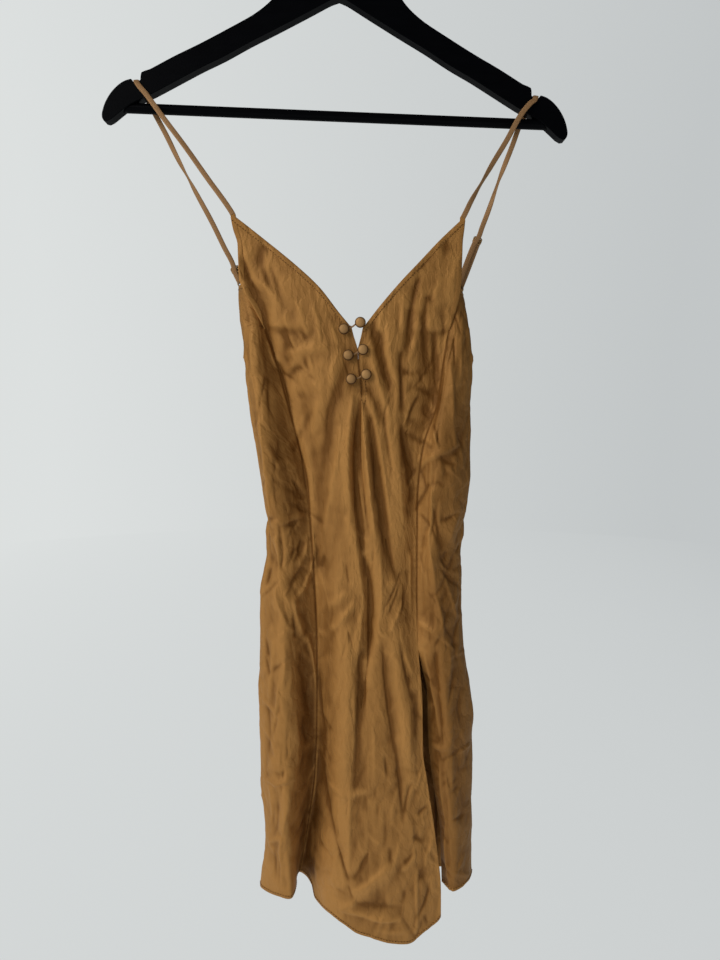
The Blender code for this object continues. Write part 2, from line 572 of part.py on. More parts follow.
def make_sides(panels, cloth):
    """Side panels with their rolled hems and the bindings of their armhole edges."""
    steps = {0: 4, 1: 2, 2: 3, 3: 3, 4: 3}       # cells between one station and the next
    columns = [0.0]
    for first, count in steps.items():
        columns += [(first + (n + 1) / count) / 5 for n in range(count)]
    for side, armhole in (("left", ARMHOLE_LEFT), ("right", ARMHOLE_RIGHT)):
        panel = panels[f"side_{side}"]

        def chord(drop):
            ring = panel.ring(drop)
            return np.linalg.norm(ring[2] - ring[1], axis=-1)

        def band(drop):
            return ARMHOLE_BINDING * (1 - ramp(drop, armhole - 22, armhole)) / chord(drop)

        def start(drop):
            return panel.setback(drop, 0)

        def beside_band(drop):
            return np.maximum(start(drop), band(drop) + SLANT_GAP / chord(drop))

        def end(drop):
            return 5 - panel.setback(drop, 1)

        top, hem = f"{side}_top", f"{side}_hem"
        body = cloth_grid(panel, columns, 36, beside_band, end, by_station(top, TOP_BINDING + SLANT_GAP),
                          by_station(hem, -ROLLED_HEM - GAP))
        cloth_object(f"side_panel_{side}", [body], CLOTH, "satin", cloth)
        roll = cloth_grid(panel, columns, 1, start, end, by_station(hem, -ROLLED_HEM), by_station(hem))
        cloth_object(f"hem_side_{side}", [roll], DOUBLED, "satin", cloth)

        # the binding runs up the edge behind the cup, turns the corner and runs on round the top
        corner = SIDE_ENDS[top][0]
        beside = -body[:, 0, 2]
        beside = beside[(beside > corner + TOP_BINDING + 1) & (beside < armhole - 13)]
        up = np.concatenate([[armhole - 9], beside[::-1]])
        round_top = np.array(columns[1:]) * end(np.array(SIDE_ENDS[top][-1]))
        over = smooth(round_top, SIDE_ENDS["station"], SIDE_ENDS[top])
        corner_band = band(np.array(corner + TOP_BINDING))
        outer = np.concatenate([[(0.0, drop) for drop in up], [(0.0, corner)],
                                np.stack([round_top, over], -1)])
        inner = np.concatenate([np.stack([band(up), up], -1), [(corner_band, corner + TOP_BINDING)],
                                np.stack([np.maximum(round_top, corner_band), over + TOP_BINDING], -1)])
        strip = np.stack([outer, inner], 1)
        cloth_object(f"underarm_binding_{side}", [panel.points(strip[..., 0], strip[..., 1])], DOUBLED,
                     "satin", cloth)


def make_back(panels, cloth):
    """Back panel with its top binding and rolled hem."""
    panel = panels["back"]
    columns = np.linspace(0, 1, 14)

    def start(drop):
        return panel.setback(drop, 0)

    def end(drop):
        return 3 - panel.setback(drop, 1)

    body = cloth_grid(panel, columns, 24, start, end, by_x(BACK_TOP, BINDING_DROP + SLANT_GAP),
                      by_x(BACK_HEM, -ROLLED_HEM - GAP))
    cloth_object("back_panel", [body], CLOTH, "satin", cloth)
    edge = cloth_grid(panel, columns, 1, start, end, by_x(BACK_TOP), by_x(BACK_TOP, BINDING_DROP))
    cloth_object("back_binding", [edge], DOUBLED, "satin", cloth)
    roll = cloth_grid(panel, columns, 1, start, end, by_x(BACK_HEM, -ROLLED_HEM), by_x(BACK_HEM))
    cloth_object("hem_back", [roll], DOUBLED, "satin", cloth)


def smooth_path(rows, per_step):
    """A curve through the rows of a route, each column taken against the length along it."""
    knots = np.stack([rows["x"], rows["y"], -rows["drop"], rows["turn"], rows["low"]], -1)
    length = np.concatenate([[0], np.cumsum(np.linalg.norm(np.diff(knots[:, :3], axis=0), axis=1))])
    fine = np.concatenate([np.linspace(a, b, per_step, endpoint=False)
                           for a, b in zip(length[:-1], length[1:])] + [[length[-1]]])
    return np.stack([smooth(fine, length, knots[:, k]) for k in range(5)], -1)


def whole_route(rows, place):
    """A strap's route with its lower end: through the slider, round the ring and back to the slider."""
    slider = np.array([place["slider_x"], place["slider_drop"]])
    ring = np.array([place["ring_x"], place["ring_drop"]])
    way = (ring - slider) / np.linalg.norm(ring - slider)
    wire = ring - RING_RADIUS * way
    end = [(*(slider - 4 * way), -LAYER), (*slider, -LAYER), (*(slider + 4 * way), -LAYER)]
    end += [(*(wire + along * way), y) for along, y in zip(RING_TURN["along"], RING_TURN["y"])]
    end += [(*(slider + 4 * way), LAYER), (*slider, LAYER), (*(slider - 2 * way), LAYER)]
    end = np.array(end).T
    none = np.zeros(len(end[0]))
    turns = {"x": end[0], "y": end[2] + STRAP_DEPTH, "drop": end[1], "turn": none, "low": none + 1}
    upper = dict(rows, low=np.zeros(len(rows["x"])))
    return {name: np.concatenate([upper[name], turns[name]]) for name in turns}, (way[1], 0, way[0])


def make_strap(name, rows, arm, low_across, cloth):
    """Flat ribbon along a route. Its width lies along the notch's floor, or square to the strap at its
    lower end, then turns by its twist."""
    path = smooth_path(rows, 2)
    along = np.gradient(path[:, :3], axis=0)
    along /= np.linalg.norm(along, axis=1)[:, None]
    low = path[:, 4:5]
    across = np.array(arm) * (1 - low) + np.array(low_across) * low
    across -= (across * along).sum(1)[:, None] * along
    across /= np.linalg.norm(across, axis=1)[:, None]
    facing = np.cross(along, across)
    turn = np.radians(path[:, 3])[:, None]
    half = (np.cos(turn) * across + np.sin(turn) * facing) * STRAP_WIDTH / 2
    cloth_object(name, [np.stack([path[:, :3] - half, path[:, :3] + half], 1)], STRAP_WALL,
                 "strap_satin", cloth)


def frame_ring(name, centre, lean, cloth):
    """Slider: a small flat sleeve round both layers of the strap, leaning with it."""
    wide, deep, tall, wall = (SLIDER[k] for k in ("width", "depth", "height", "wall"))
    build = bmesh.new()
    outer = [(-wide / 2, -deep / 2), (wide / 2, -deep / 2), (wide / 2, deep / 2), (-wide / 2, deep / 2)]
    inner = [(x - math.copysign(wall, x), y - math.copysign(wall, y)) for x, y in outer]
    loops = [[build.verts.new(Vector((x, y, z)) * MM) for x, y in ring]
             for ring in (outer, inner) for z in (-tall / 2, tall / 2)]
    for k in range(4):
        n = (k + 1) % 4
        low_out, high_out, low_in, high_in = loops
        build.faces.new((low_out[k], low_out[n], high_out[n], high_out[k]))
        build.faces.new((high_in[k], high_in[n], low_in[n], low_in[k]))
        build.faces.new((high_out[k], high_out[n], high_in[n], high_in[k]))
        build.faces.new((low_in[k], low_in[n], low_out[n], low_out[k]))
    mesh = bpy.data.meshes.new(name)
    build.to_mesh(mesh)
    build.free()
    made = add_object(name, mesh, "gilt", cloth)
    made.location = Vector(centre) * MM
    made.rotation_euler = (0, lean, 0)


def make_straps(cloth):
    tilt = math.radians(HANGER_TILT)
    slope = math.radians(NOTCH_SLOPE)
    arms = {"left": (math.cos(slope - tilt), 0, math.sin(slope - tilt)),
            "right": (math.cos(slope + tilt), 0, -math.sin(slope + tilt))}
    for n, (side, rows) in enumerate((("left", LEFT_STRAP), ("right", RIGHT_STRAP))):
        place = {name: column[n] for name, column in STRAP_PLACES.items()}
        route, low_across = whole_route(rows, place)
        make_strap(f"strap_{side}", route, arms[side], low_across, cloth)
        run_x = place["ring_x"] - place["slider_x"]
        run_drop = place["ring_drop"] - place["slider_drop"]
        frame_ring(f"slider_{side}", (place["slider_x"], STRAP_DEPTH, -place["slider_drop"]),
                   math.atan2(-run_x, run_drop), cloth)
        bpy.ops.mesh.primitive_torus_add(
            major_radius=RING_RADIUS * MM, minor_radius=RING_WIRE * MM, major_segments=16, minor_segments=6,
            location=Vector((place["ring_x"], STRAP_DEPTH, -place["ring_drop"])) * MM,
            rotation=(math.radians(90), 0, 0))
        take(f"ring_{side}", "gilt", cloth)


def take(name, finish, collection):
    """Names the object that an operator has just made and moves it to its collection."""
    made = bpy.context.object
    made.name = name
    made.data.name = name
    for old in list(made.users_collection):
        old.objects.unlink(made)
    collection.objects.link(made)
    made.data.materials.clear()
    made.data.materials.append(material(finish))
    return made


def wire(name, points, radius, sides_resolution, finish, collection):
    """Round wire or cord through a list of points."""
    curve = bpy.data.curves.new(name, "CURVE")
    curve.dimensions = "3D"
    curve.bevel_depth = radius * MM
    curve.bevel_resolution = sides_resolution
    curve.use_fill_caps = True
    spline = curve.splines.new("POLY")
    spline.points.add(len(points) - 1)
    for knot, point in zip(spline.points, points):
        knot.co = (*(Vector(point) * MM), 1)
    curve.materials.append(material(finish))
    made = bpy.data.objects.new(name, curve)
    collection.objects.link(made)
    return made


def button_depth(panel, x, drop):
    """Y of a button's centre: clear of the foremost cloth behind it."""
    spread = np.linspace(-1, 1, 7) * BUTTON_RADIUS
    s, near = np.meshgrid(np.linspace(0.8, 3.2, 160), drop + spread)
    points = panel.points(s, near).reshape(-1, 3)
    close = np.abs(points[:, 0] - x) <= BUTTON_RADIUS
    return points[close, 1].min() - CLOTH / 2 - GAP - BUTTON_HALF_HEIGHT


def make_buttons(panel, cloth):
    """Three pairs of covered buttons across the slit, each pair joined by a thread loop."""
    for n in range(3):
        pair = {name: column[n] for name, column in BUTTONS.items()}
        centres = []
        for side in ("left", "right"):
            x, drop = pair[f"{side}_x"], pair[f"{side}_drop"]
            centre = Vector((x, button_depth(panel, x, drop), -drop))
            centres.append(centre)
            bpy.ops.mesh.primitive_uv_sphere_add(segments=12, ring_count=8, radius=1, location=(0, 0, 0))
            made = take(f"button_{side}_{n + 1}", "button_satin", cloth)
            for vert in made.data.vertices:
                vert.co = Vector((vert.co.x * BUTTON_RADIUS, vert.co.y * BUTTON_HALF_HEIGHT,
                                  vert.co.z * BUTTON_RADIUS)) * MM
            made.data.shade_smooth()
            made.location = centre * MM
        left, right = centres
        reach = BUTTON_RADIUS + LOOP_RADIUS + GAP
        way = (right - left).normalized()
        start, end = left + way * reach, right - way * reach
        sag = Vector((0, -0.6, -0.8))
        points = [start.lerp(end, f) + sag * math.sin(math.pi * f) for f in np.linspace(0, 1, 7)]
        wire(f"button_loop_{n + 1}", points, LOOP_RADIUS, 1, "strap_satin", cloth)


def make_hanger(hanger, cutters):
    """Flat arms with their notches, the trouser bar through the ends, and the steel hook."""
    tilt = bpy.data.objects.new("hanger_tilt", None)
    tilt.rotation_euler = (0, math.radians(HANGER_TILT), 0)
    hanger.objects.link(tilt)

    outline = bpy.data.curves.new("hanger_arms", "CURVE")
    outline.dimensions = "2D"
    outline.fill_mode = "BOTH"
    outline.extrude = (HANGER_THICKNESS / 2) * MM
    half = HANGER_HALF
    points = half + [(-x, drop) for x, drop in reversed(half[1:-1])]
    spline = outline.splines.new("POLY")
    spline.points.add(len(points) - 1)
    spline.use_cyclic_u = True
    for knot, (x, drop) in zip(spline.points, points):
        knot.co = (x * MM, -drop * MM, 0, 1)
    flat = bpy.data.objects.new("hanger_outline", outline)
    hanger.objects.link(flat)
    mesh = bpy.data.meshes.new_from_object(flat.evaluated_get(bpy.context.evaluated_depsgraph_get()))
    bpy.data.objects.remove(flat)
    mesh.name = "hanger_arms"
    build = bmesh.new()
    build.from_mesh(mesh)
    bmesh.ops.remove_doubles(build, verts=build.verts, dist=1e-6)
    bmesh.ops.dissolve_limit(build, angle_limit=math.radians(1), verts=build.verts, edges=build.edges)
    bmesh.ops.rotate(build, verts=build.verts, matrix=Matrix.Rotation(math.radians(90), 3, "X"),
                     cent=(0, 0, 0))
    bmesh.ops.recalc_face_normals(build, faces=build.faces)
    build.to_mesh(mesh)
    build.free()
    mesh.materials.clear()
    arms = add_object("hanger_arms", mesh, "black_wood", hanger)
    arms.parent = tilt
    rounding = arms.modifiers.new("rounding", "BEVEL")
    rounding.width = HANGER_ROUNDING * MM
    rounding.segments = 2
    rounding.limit_method = "ANGLE"
    rounding.angle_limit = math.radians(60)

    bore = add_bar("bar_bore", BAR_RADIUS + GAP, BAR_HALF_LENGTH + GAP, tilt, cutters)
    bore.display_type = "WIRE"
    bore.hide_render = True
    cut = arms.modifiers.new("bar holes", "BOOLEAN")
    cut.object = bore
    cut.operation = "DIFFERENCE"
    add_bar("hanger_bar", BAR_RADIUS, BAR_HALF_LENGTH, tilt, hanger)

    ring = HOOK_INNER_RADIUS + HOOK_WIRE_RADIUS
    middle = -HOOK_INNER_RADIUS
    sweep = np.radians(np.linspace(-35, 235, 25))
    hook = [(-ring * math.cos(a), 0, middle + ring * math.sin(a)) for a in sweep]
    stem_top = hook[-1]
    stem = [(stem_top[0] * (1 - f) ** 2, 0, stem_top[2] + (-HANGER_TOP_DROP + 14 - stem_top[2]) * f)
            for f in np.linspace(0.2, 1, 5)]
    hook += stem + [(0, 0, -HANGER_TOP_DROP + GAP)]
    made = wire("hanger_hook", hook, HOOK_WIRE_RADIUS, 2, "steel", hanger)
    made.parent = tilt


def add_bar(name, radius, half_length, parent, collection):
    bpy.ops.mesh.primitive_cylinder_add(vertices=20, radius=radius * MM, depth=2 * half_length * MM,
                                        location=(0, 0, -BAR_DROP * MM), rotation=(0, math.radians(90), 0))
    made = take(name, "black_wood", collection)
    made.parent = parent
    return made


def new_collection(name):
    made = bpy.data.collections.new(name)
    bpy.context.scene.collection.children.link(made)
    return made


def main():
    for old in list(bpy.data.objects):
        bpy.data.objects.remove(old, do_unlink=True)
    dress = new_collection("slip_dress")
    hanger = new_collection("hanger")
    cutters = new_collection("cutters")
    panels = make_panels()
    make_front(panels, dress)
    make_sides(panels, dress)
    make_back(panels, dress)
    make_buttons(panels["front"], dress)
    make_straps(dress)
    make_hanger(hanger, cutters)


main()
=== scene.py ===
import math
import bmesh
import bpy
import numpy as np
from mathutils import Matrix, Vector


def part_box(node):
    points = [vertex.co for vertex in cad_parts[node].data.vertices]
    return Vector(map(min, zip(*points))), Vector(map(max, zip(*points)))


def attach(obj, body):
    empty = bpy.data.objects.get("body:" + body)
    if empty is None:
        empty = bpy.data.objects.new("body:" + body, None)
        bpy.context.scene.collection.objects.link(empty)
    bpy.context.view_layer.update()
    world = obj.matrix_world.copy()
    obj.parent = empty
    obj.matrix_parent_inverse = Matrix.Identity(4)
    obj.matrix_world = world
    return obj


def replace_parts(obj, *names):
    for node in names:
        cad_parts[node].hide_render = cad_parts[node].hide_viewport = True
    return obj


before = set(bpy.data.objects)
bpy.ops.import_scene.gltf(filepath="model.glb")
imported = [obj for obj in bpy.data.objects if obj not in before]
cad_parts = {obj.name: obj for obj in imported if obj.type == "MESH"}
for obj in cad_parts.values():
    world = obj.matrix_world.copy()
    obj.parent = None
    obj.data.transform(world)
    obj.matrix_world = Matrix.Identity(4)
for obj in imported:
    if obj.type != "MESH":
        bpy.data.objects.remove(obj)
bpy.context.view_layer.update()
mm = 0.001                        # all sizes below are in millimetres, heights as a drop below the hook
print("frame loaded")


def columns(names, rows):         # a table with one named column for each word
    return dict(zip(names.split(), np.array(rows, float).T))


# cubic through the values; its slope at a knot is 2ab / (a + b) of the rises a and b beside it, or 0 where
# they turn
def smooth(at, knots, values):
    step = np.diff(knots)
    rise = np.diff(values) / step
    slope = np.zeros_like(values)
    same = rise[1:] * rise[:-1] > 0
    total = np.where(same, rise[1:] + rise[:-1], 1.0)
    slope[1:-1] = np.where(same, 2 * rise[1:] * rise[:-1] / total, 0.0)
    slope[0], slope[-1] = rise[0], rise[-1]
    at = np.clip(at, knots[0], knots[-1])
    i = np.clip(np.searchsorted(knots, at, side="right") - 1, 0, len(step) - 1)
    f = (at - knots[i]) / step[i]
    g = 1 - f
    return (values[i] * g * g * (1 + 2 * f) + values[i + 1] * f * f * (1 + 2 * g)
            + step[i] * f * g * (slope[i] * g - slope[i + 1] * f))


def ramp(at, start, end):         # 0 to 1, 3f^2 - 2f^3
    f = np.clip((at - start) / (end - start), 0, 1)
    return f * f * (3 - 2 * f)


def unit(v):
    return v / np.maximum(np.linalg.norm(v, axis=-1, keepdims=True), 1e-9)


# lattice noise from -1 to 1: seeded values at whole numbers, eased between them with 3f^2 - 2f^3
def noise(u, v, seed):
    lattice = np.random.default_rng(seed).uniform(-1, 1, (64, 64))
    iu, iv = np.floor(u).astype(int), np.floor(v).astype(int)
    fu, fv = u - iu, v - iv
    fu, fv = fu * fu * (3 - 2 * fu), fv * fv * (3 - 2 * fv)
    a, b = lattice[iu % 64, iv % 64], lattice[(iu + 1) % 64, iv % 64]
    c, d = lattice[iu % 64, (iv + 1) % 64], lattice[(iu + 1) % 64, (iv + 1) % 64]
    return (a * (1 - fu) + b * fu) * (1 - fv) + (c * (1 - fu) + d * fu) * fv


# squared distance to the nearest point of a jittered lattice: domes that meet in straight sharp creases
def facets(u, v, seed):
    jitter = np.random.default_rng(seed).uniform(0.08, 0.92, (64, 64, 2))
    iu, iv = np.floor(u).astype(int), np.floor(v).astype(int)
    nearest = np.full(np.broadcast(u, v).shape, 9.0)
    for du in (-1, 0, 1):
        for dv in (-1, 0, 1):
            point = jitter[(iu + du) % 64, (iv + dv) % 64]
            away = (iu + du + point[..., 0] - u) ** 2 + (iv + dv + point[..., 1] - v) ** 2
            nearest = np.minimum(nearest, away)
    return nearest


# one crease: a quadratic curve through three points, height * fade * exp(-(away / flank)^sharp) on each
# side of it, where fade is 0 at its ends; left is the side on the left of a falling line, below a line
# that runs to the right
def addCrease(total, x, drop, crease, sharp):
    x1, drop1, x2, drop2, x3, drop3, height, left, right = crease
    reach = 3.2 * max(left, right)
    near = np.flatnonzero((x > min(x1, x2, x3) - reach) & (x < max(x1, x2, x3) + reach)
                          & (drop > min(drop1, drop2, drop3) - reach)
                          & (drop < max(drop1, drop2, drop3) + reach))
    if not len(near):
        return
    steps = np.linspace(0, 1, 9)[:, None]
    start, middle, end = np.array([x1, drop1]), np.array([x2, drop2]), np.array([x3, drop3])
    bend = 2 * middle - (start + end) / 2
    line = (1 - steps) ** 2 * start + 2 * steps * (1 - steps) * bend + steps ** 2 * end
    px, pd = x.flat[near], drop.flat[near]
    nearest, along, side = np.full(len(near), np.inf), np.zeros(len(near)), np.zeros(len(near))
    for k in range(8):
        run = line[k + 1] - line[k]
        rx, rd = px - line[k, 0], pd - line[k, 1]
        f = np.clip((rx * run[0] + rd * run[1]) / (run @ run), 0, 1)
        away = np.hypot(rx - f * run[0], rd - f * run[1])
        closer = away < nearest
        nearest = np.where(closer, away, nearest)
        along = np.where(closer, (k + f) / 8, along)
        side = np.where(closer, run[0] * rd - run[1] * rx, side)
    flank = left + (right - left) * ramp(-side, -6, 6)
    fade = np.clip(4 * along * (1 - along), 0, 1) ** 0.75
    total.flat[near] += height * fade * np.exp(-(nearest / flank) ** sharp)


def creaseHeight(x, drop, creases, sharp=1.0, high=1.9, wide=0.75):
    total = np.zeros(x.shape)
    for crease in creases:
        addCrease(total, x, drop, (*crease[:6], crease[6] * high, crease[7] * wide, crease[8] * wide), sharp)
    return total


# creases strewn over a rectangle: straight or slightly bent, leaning by a normal spread, half of them valleys
def strewn(count, seed, xRange, dropRange, height, flank, length, lean):
    rng = np.random.default_rng(seed)
    rows = []
    for _ in range(count):
        x, drop = rng.uniform(*xRange), rng.uniform(*dropRange)
        turn = rng.normal(0, lean)
        half = rng.uniform(*length) / 2
        dx, dd = half * math.sin(turn), half * math.cos(turn)
        bow = rng.normal(0, 0.12) * half
        size = rng.uniform(*height) * (1 if rng.random() < 0.5 else -1)
        left, right = rng.uniform(*flank), rng.uniform(*flank)
        rows.append((x - dx, drop - dd, x + bow * math.cos(turn), drop - bow * math.sin(turn),
                     x + dx, drop + dd, size, left, right))
    return rows


# wraps a socket, so that + - * / and reflected forms add Math nodes
class Socket:
    def __init__(self, maker, socket):
        self.maker, self.socket = maker, socket

    def math(self, operation, first, second):
        return self.maker.node("ShaderNodeMath", {"operation": operation}, {0: first, 1: second})

    def __add__(self, other): return self.math("ADD", self, other)
    def __radd__(self, other): return self.math("ADD", other, self)
    def __sub__(self, other): return self.math("SUBTRACT", self, other)
    def __rsub__(self, other): return self.math("SUBTRACT", other, self)
    def __mul__(self, other): return self.math("MULTIPLY", self, other)
    def __rmul__(self, other): return self.math("MULTIPLY", other, self)
    def __truediv__(self, other): return self.math("DIVIDE", self, other)
    def __pow__(self, other): return self.math("POWER", self, other)


class Maker:                      # one material and its nodes
    def __init__(self, name):
        self.material = bpy.data.materials.new(name)
        self.material.use_nodes = True
        self.tree = self.material.node_tree
        self.shader = self.tree.nodes["Principled BSDF"]

    # a node of any type: settings first, then values or links into its sockets
    def node(self, kind, settings, sockets, out=0):
        made = self.tree.nodes.new(kind)
        for name, value in settings.items():
            setattr(made, name, value)
        for key, value in sockets.items():
            if isinstance(value, Socket):
                self.tree.links.new(value.socket, made.inputs[key])
            else:
                made.inputs[key].default_value = value
        return Socket(self, made.outputs[out])

    def link(self, value, name):
        self.tree.links.new(value.socket, self.shader.inputs[name])

    def fixed(self, **values):    # constants go straight on the shader's own sockets
        for name, value in values.items():
            self.shader.inputs[name.replace("_", " ")].default_value = value

    def mix(self, share, first, second):
        colour = {"data_type": "RGBA"}
        return self.node("ShaderNodeMix", colour, {0: share, 6: first, 7: second}, out=2)

    # squared distance to the nearest point of a random set
    def domes(self, where, scale, shift=0.0):
        place = self.node("ShaderNodeMapping", {},
                          {"Vector": where, "Scale": scale, "Location": (shift, shift, 0)})
        return self.node("ShaderNodeTexVoronoi", {"voronoi_dimensions": "2D"},
                         {"Vector": place, "Scale": 1.0}) ** 2.0

    def noise(self, where, scale, detail=2.0, roughness=0.5):
        return self.node("ShaderNodeTexNoise", {},
                         {"Vector": where, "Scale": scale, "Detail": detail, "Roughness": roughness})


satinLook = {
    "light": (0.47, 0.228, 0.062, 1), "dark": (0.165, 0.064, 0.011, 1), "roughness": 0.58,
    "crumple": 0.9, "sheen": 0.08, "grain": 0.18,
}


# satin: colour drifts between two tones, threads run down the cloth, the fold attribute paints shade and
# highlight, fine crumples tilt the light
def makeSatin(name, light, dark, roughness, crumple, sheen, grain):
    m = Maker(name)
    where = m.node("ShaderNodeUVMap", {"uv_map": "cloth"}, {})
    drift = m.noise(where, 14.0, 3.0)
    patches = m.noise(where, 55.0, 4.0, 0.6)
    # the fold attribute: painted shade in creases, seams and the closed slit, painted highlight on ridges
    fold = m.node("ShaderNodeAttribute", {"attribute_name": "fold"}, {}, out=2)
    stretched = m.node("ShaderNodeMapping", {}, {"Vector": where, "Scale": (1400.0, 55.0, 1.0)})
    threads = m.noise(stretched, 1.0, 2.0)
    toneAndShade = 0.21 - grain / 2 + drift * 0.42 + patches * 0.3 + threads * grain + fold * 0.42
    m.link(m.mix(toneAndShade, dark, light), "Base Color")
    m.link(roughness - 0.05 + patches * 0.12, "Roughness")
    sway = m.node("ShaderNodeTexNoise", {}, {"Vector": where, "Scale": 60.0, "Detail": 2.0}, out=1)
    bent = m.node("ShaderNodeVectorMath", {"operation": "MULTIPLY_ADD"},
                  {0: sway, 1: (0.012, 0.016, 0.0), 2: where})
    large, largeToo = m.domes(bent, (165.0, 75.0, 1.0)), m.domes(bent, (140.0, 95.0, 1.0), 3.0)
    small, smallToo = m.domes(bent, (420.0, 210.0, 1.0)), m.domes(bent, (370.0, 260.0, 1.0), 3.0)
    height = large - largeToo + (small - smallToo) * 0.22 + threads * 0.12
    bump = m.node("ShaderNodeBump", {}, {"Strength": 1.0, "Distance": crumple * 0.0006, "Height": height})
    m.link(bump, "Normal")
    m.fixed(Metallic=0.22, Specular_IOR_Level=0.35, Specular_Tint=(1.0, 0.82, 0.55, 1),
            Sheen_Weight=sheen, Sheen_Roughness=0.4, Sheen_Tint=(1.0, 0.72, 0.36, 1))
    return m.material


# lacquer: brightness and relief from noise drawn out along X, roughness from fine spots
def makePaint(name, colour, roughness, grain):
    m = Maker(name)
    where = m.node("ShaderNodeTexCoord", {}, {}, out=3)
    stretched = m.node("ShaderNodeMapping", {}, {"Vector": where, "Scale": (12.0, 60.0, 60.0)})
    lines = m.noise(stretched, 3.0, 4.0, 0.6)
    spots = m.noise(where, 90.0, 3.0)
    bright = tuple(c * 1.9 + 0.0012 for c in colour[:3]) + (1,)
    m.link(m.mix(lines, colour, bright), "Base Color")
    m.link(roughness - 0.08 + spots * 0.16, "Roughness")
    height = lines * 0.7 + spots * 0.3
    m.link(m.node("ShaderNodeBump", {}, {"Strength": grain, "Distance": 0.0004, "Height": height}), "Normal")
    m.fixed(Specular_IOR_Level=0.03)
    return m.material


# bare metal: colour between a duller and a full tone, roughness from the same smudges
def makeMetal(name, colour, roughness):
    m = Maker(name)
    where = m.node("ShaderNodeTexCoord", {}, {}, out=3)
    smudge = m.noise(where, 240.0, 3.0)
    duller = tuple(c * 0.82 for c in colour[:3]) + (1,)
    m.link(m.mix(smudge, duller, colour), "Base Color")
    m.link(roughness - 0.05 + smudge * 0.14, "Roughness")
    m.fixed(Metallic=1.0)
    return m.material


def otherSatin(name, **changes):  # the dress's satin, with some of its look changed
    return makeSatin(name, **dict(satinLook, **changes))


materials = {
    "satin": makeSatin("satin", **satinLook),
    "strap": otherSatin("strap_satin", light=(0.40, 0.225, 0.105, 1), dark=(0.26, 0.135, 0.055, 1),
                        crumple=0.1, grain=0.03),
    # the button's dark tone is what the buttons' painted rim shade reaches
    "button": otherSatin("button_satin", light=(0.60, 0.335, 0.13, 1), dark=(0.07, 0.028, 0.008, 1),
                         crumple=0.3, grain=0.05),
    "thread": otherSatin("thread", light=(0.16, 0.068, 0.018, 1), dark=(0.10, 0.042, 0.010, 1),
                         crumple=0.05, roughness=0.6, grain=0.03),
    "lacquer": makePaint("black_lacquer", (0.0006, 0.0007, 0.0012, 1), 0.36, 0.2),
    "steel": makeMetal("steel_wire", (0.62, 0.62, 0.61, 1), 0.24),
    "gilt": makeMetal("gilt_metal", (0.40, 0.25, 0.11, 1), 0.42),
}
print("materials made")


# faces of a grid of points, its last column joined to the first where it closes
def gridFaces(rows, cols, closed=False, first=0):
    i, j = np.meshgrid(np.arange(rows - 1), np.arange(cols if closed else cols - 1), indexing="ij")
    a, b = i * cols + j, i * cols + (j + 1) % cols
    return np.stack([a, a + cols, b + cols, b], -1).reshape(-1, 4) + first


def remake(made, change):         # one bmesh change on an object's mesh
    work = bmesh.new()
    work.from_mesh(made.data)
    change(work)
    work.to_mesh(made.data)
    work.free()


def weld(work):                   # joins points that lie on each other
    bmesh.ops.remove_doubles(work, verts=work.verts, dist=1e-6)


def turnOut(work):                # makes all faces point outwards
    bmesh.ops.recalc_face_normals(work, faces=work.faces)


def paintedShadeLayer(made, toneAndShade):        # each point's painted light for the satin: below 0 painted shade, above 0 painted highlight
    layer = made.data.attributes.new("fold", "FLOAT", "POINT")
    layer.data.foreach_set("value", toneAndShade.astype(np.float32).ravel())


# a mesh of points in mm, with its material and its body
def meshObject(name, points, faces, finish, uv=None):
    mesh = bpy.data.meshes.new(name)
    mesh.from_pydata((points * mm).tolist(), [], [list(f) for f in faces])
    if uv is not None:
        layer = mesh.uv_layers.new(name="cloth")
        corner = np.empty(len(mesh.loops), int)
        mesh.loops.foreach_get("vertex_index", corner)
        layer.data.foreach_set("uv", (uv[corner] * mm).astype(np.float32).ravel())
    mesh.shade_smooth()
    mesh.materials.append(materials[finish])
    made = bpy.data.objects.new(name, mesh)
    bpy.context.scene.collection.objects.link(made)
    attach(made, "root")
    return made


def thicken(made, wall):          # solidify, half the wall on each side
    shell = made.modifiers.new("wall", "SOLIDIFY")
    shell.thickness = wall * mm
    shell.offset = 0
    shell.use_quality_normals = True


def power(value, exponent):       # keeps its sign
    return np.sign(value) * np.abs(value) ** exponent


aroundBand = np.linspace(0, 2 * np.pi, 14, endpoint=False)


# flat tube along a band: each ring is middle + cos(a)^0.6 * half width + sin(a)^0.8 * half thickness
def bandTube(left, right, thickness):
    middle, half = (left + right) / 2, (left - right) / 2
    along = unit(np.gradient(middle, axis=0))
    facing = unit(np.cross(along, half))
    wide, deep = power(np.cos(aroundBand), 0.6), power(np.sin(aroundBand), 0.8)
    return (middle[:, None] + wide[None, :, None] * half[:, None]
            + deep[None, :, None] * facing[:, None] * thickness / 2)


# rings joined into a closed tube with capped ends; its UV is the way round and the way along
def tubeObject(name, rings, finish, shade=None):
    rows, cols = rings.shape[:2]
    length = np.concatenate([[0], np.cumsum(np.linalg.norm(np.diff(rings.mean(1), axis=0), axis=1))])
    round_ = np.concatenate([[0], np.cumsum(np.linalg.norm(np.diff(rings[0], axis=0), axis=1))])
    uv = np.stack(np.broadcast_arrays(round_[None, :], length[:, None]), -1).reshape(-1, 2)
    faces = [tuple(f) for f in gridFaces(rows, cols, closed=True)]
    faces += [tuple(range(cols)), tuple(range((rows - 1) * cols, rows * cols))[::-1]]
    made = meshObject(name, rings.reshape(-1, 3), faces, finish, uv)
    if shade is not None:
        paintedShadeLayer(made, np.broadcast_to(shade, (rows, cols)))
    remake(made, turnOut)
    return made


# round wire along a path: each ring is point + radius * (cos a * across + sin a * over)
def wireRings(path, radius, ringCount):
    along = unit(np.gradient(path, axis=0))
    across = unit(np.cross(along, np.array([0.0, 1.0, 0.0])))
    over = np.cross(along, across)
    a = np.linspace(0, 2 * np.pi, ringCount, endpoint=False)
    return (path[:, None] + radius * (np.cos(a)[None, :, None] * across[:, None]
                                      + np.sin(a)[None, :, None] * over[:, None]))


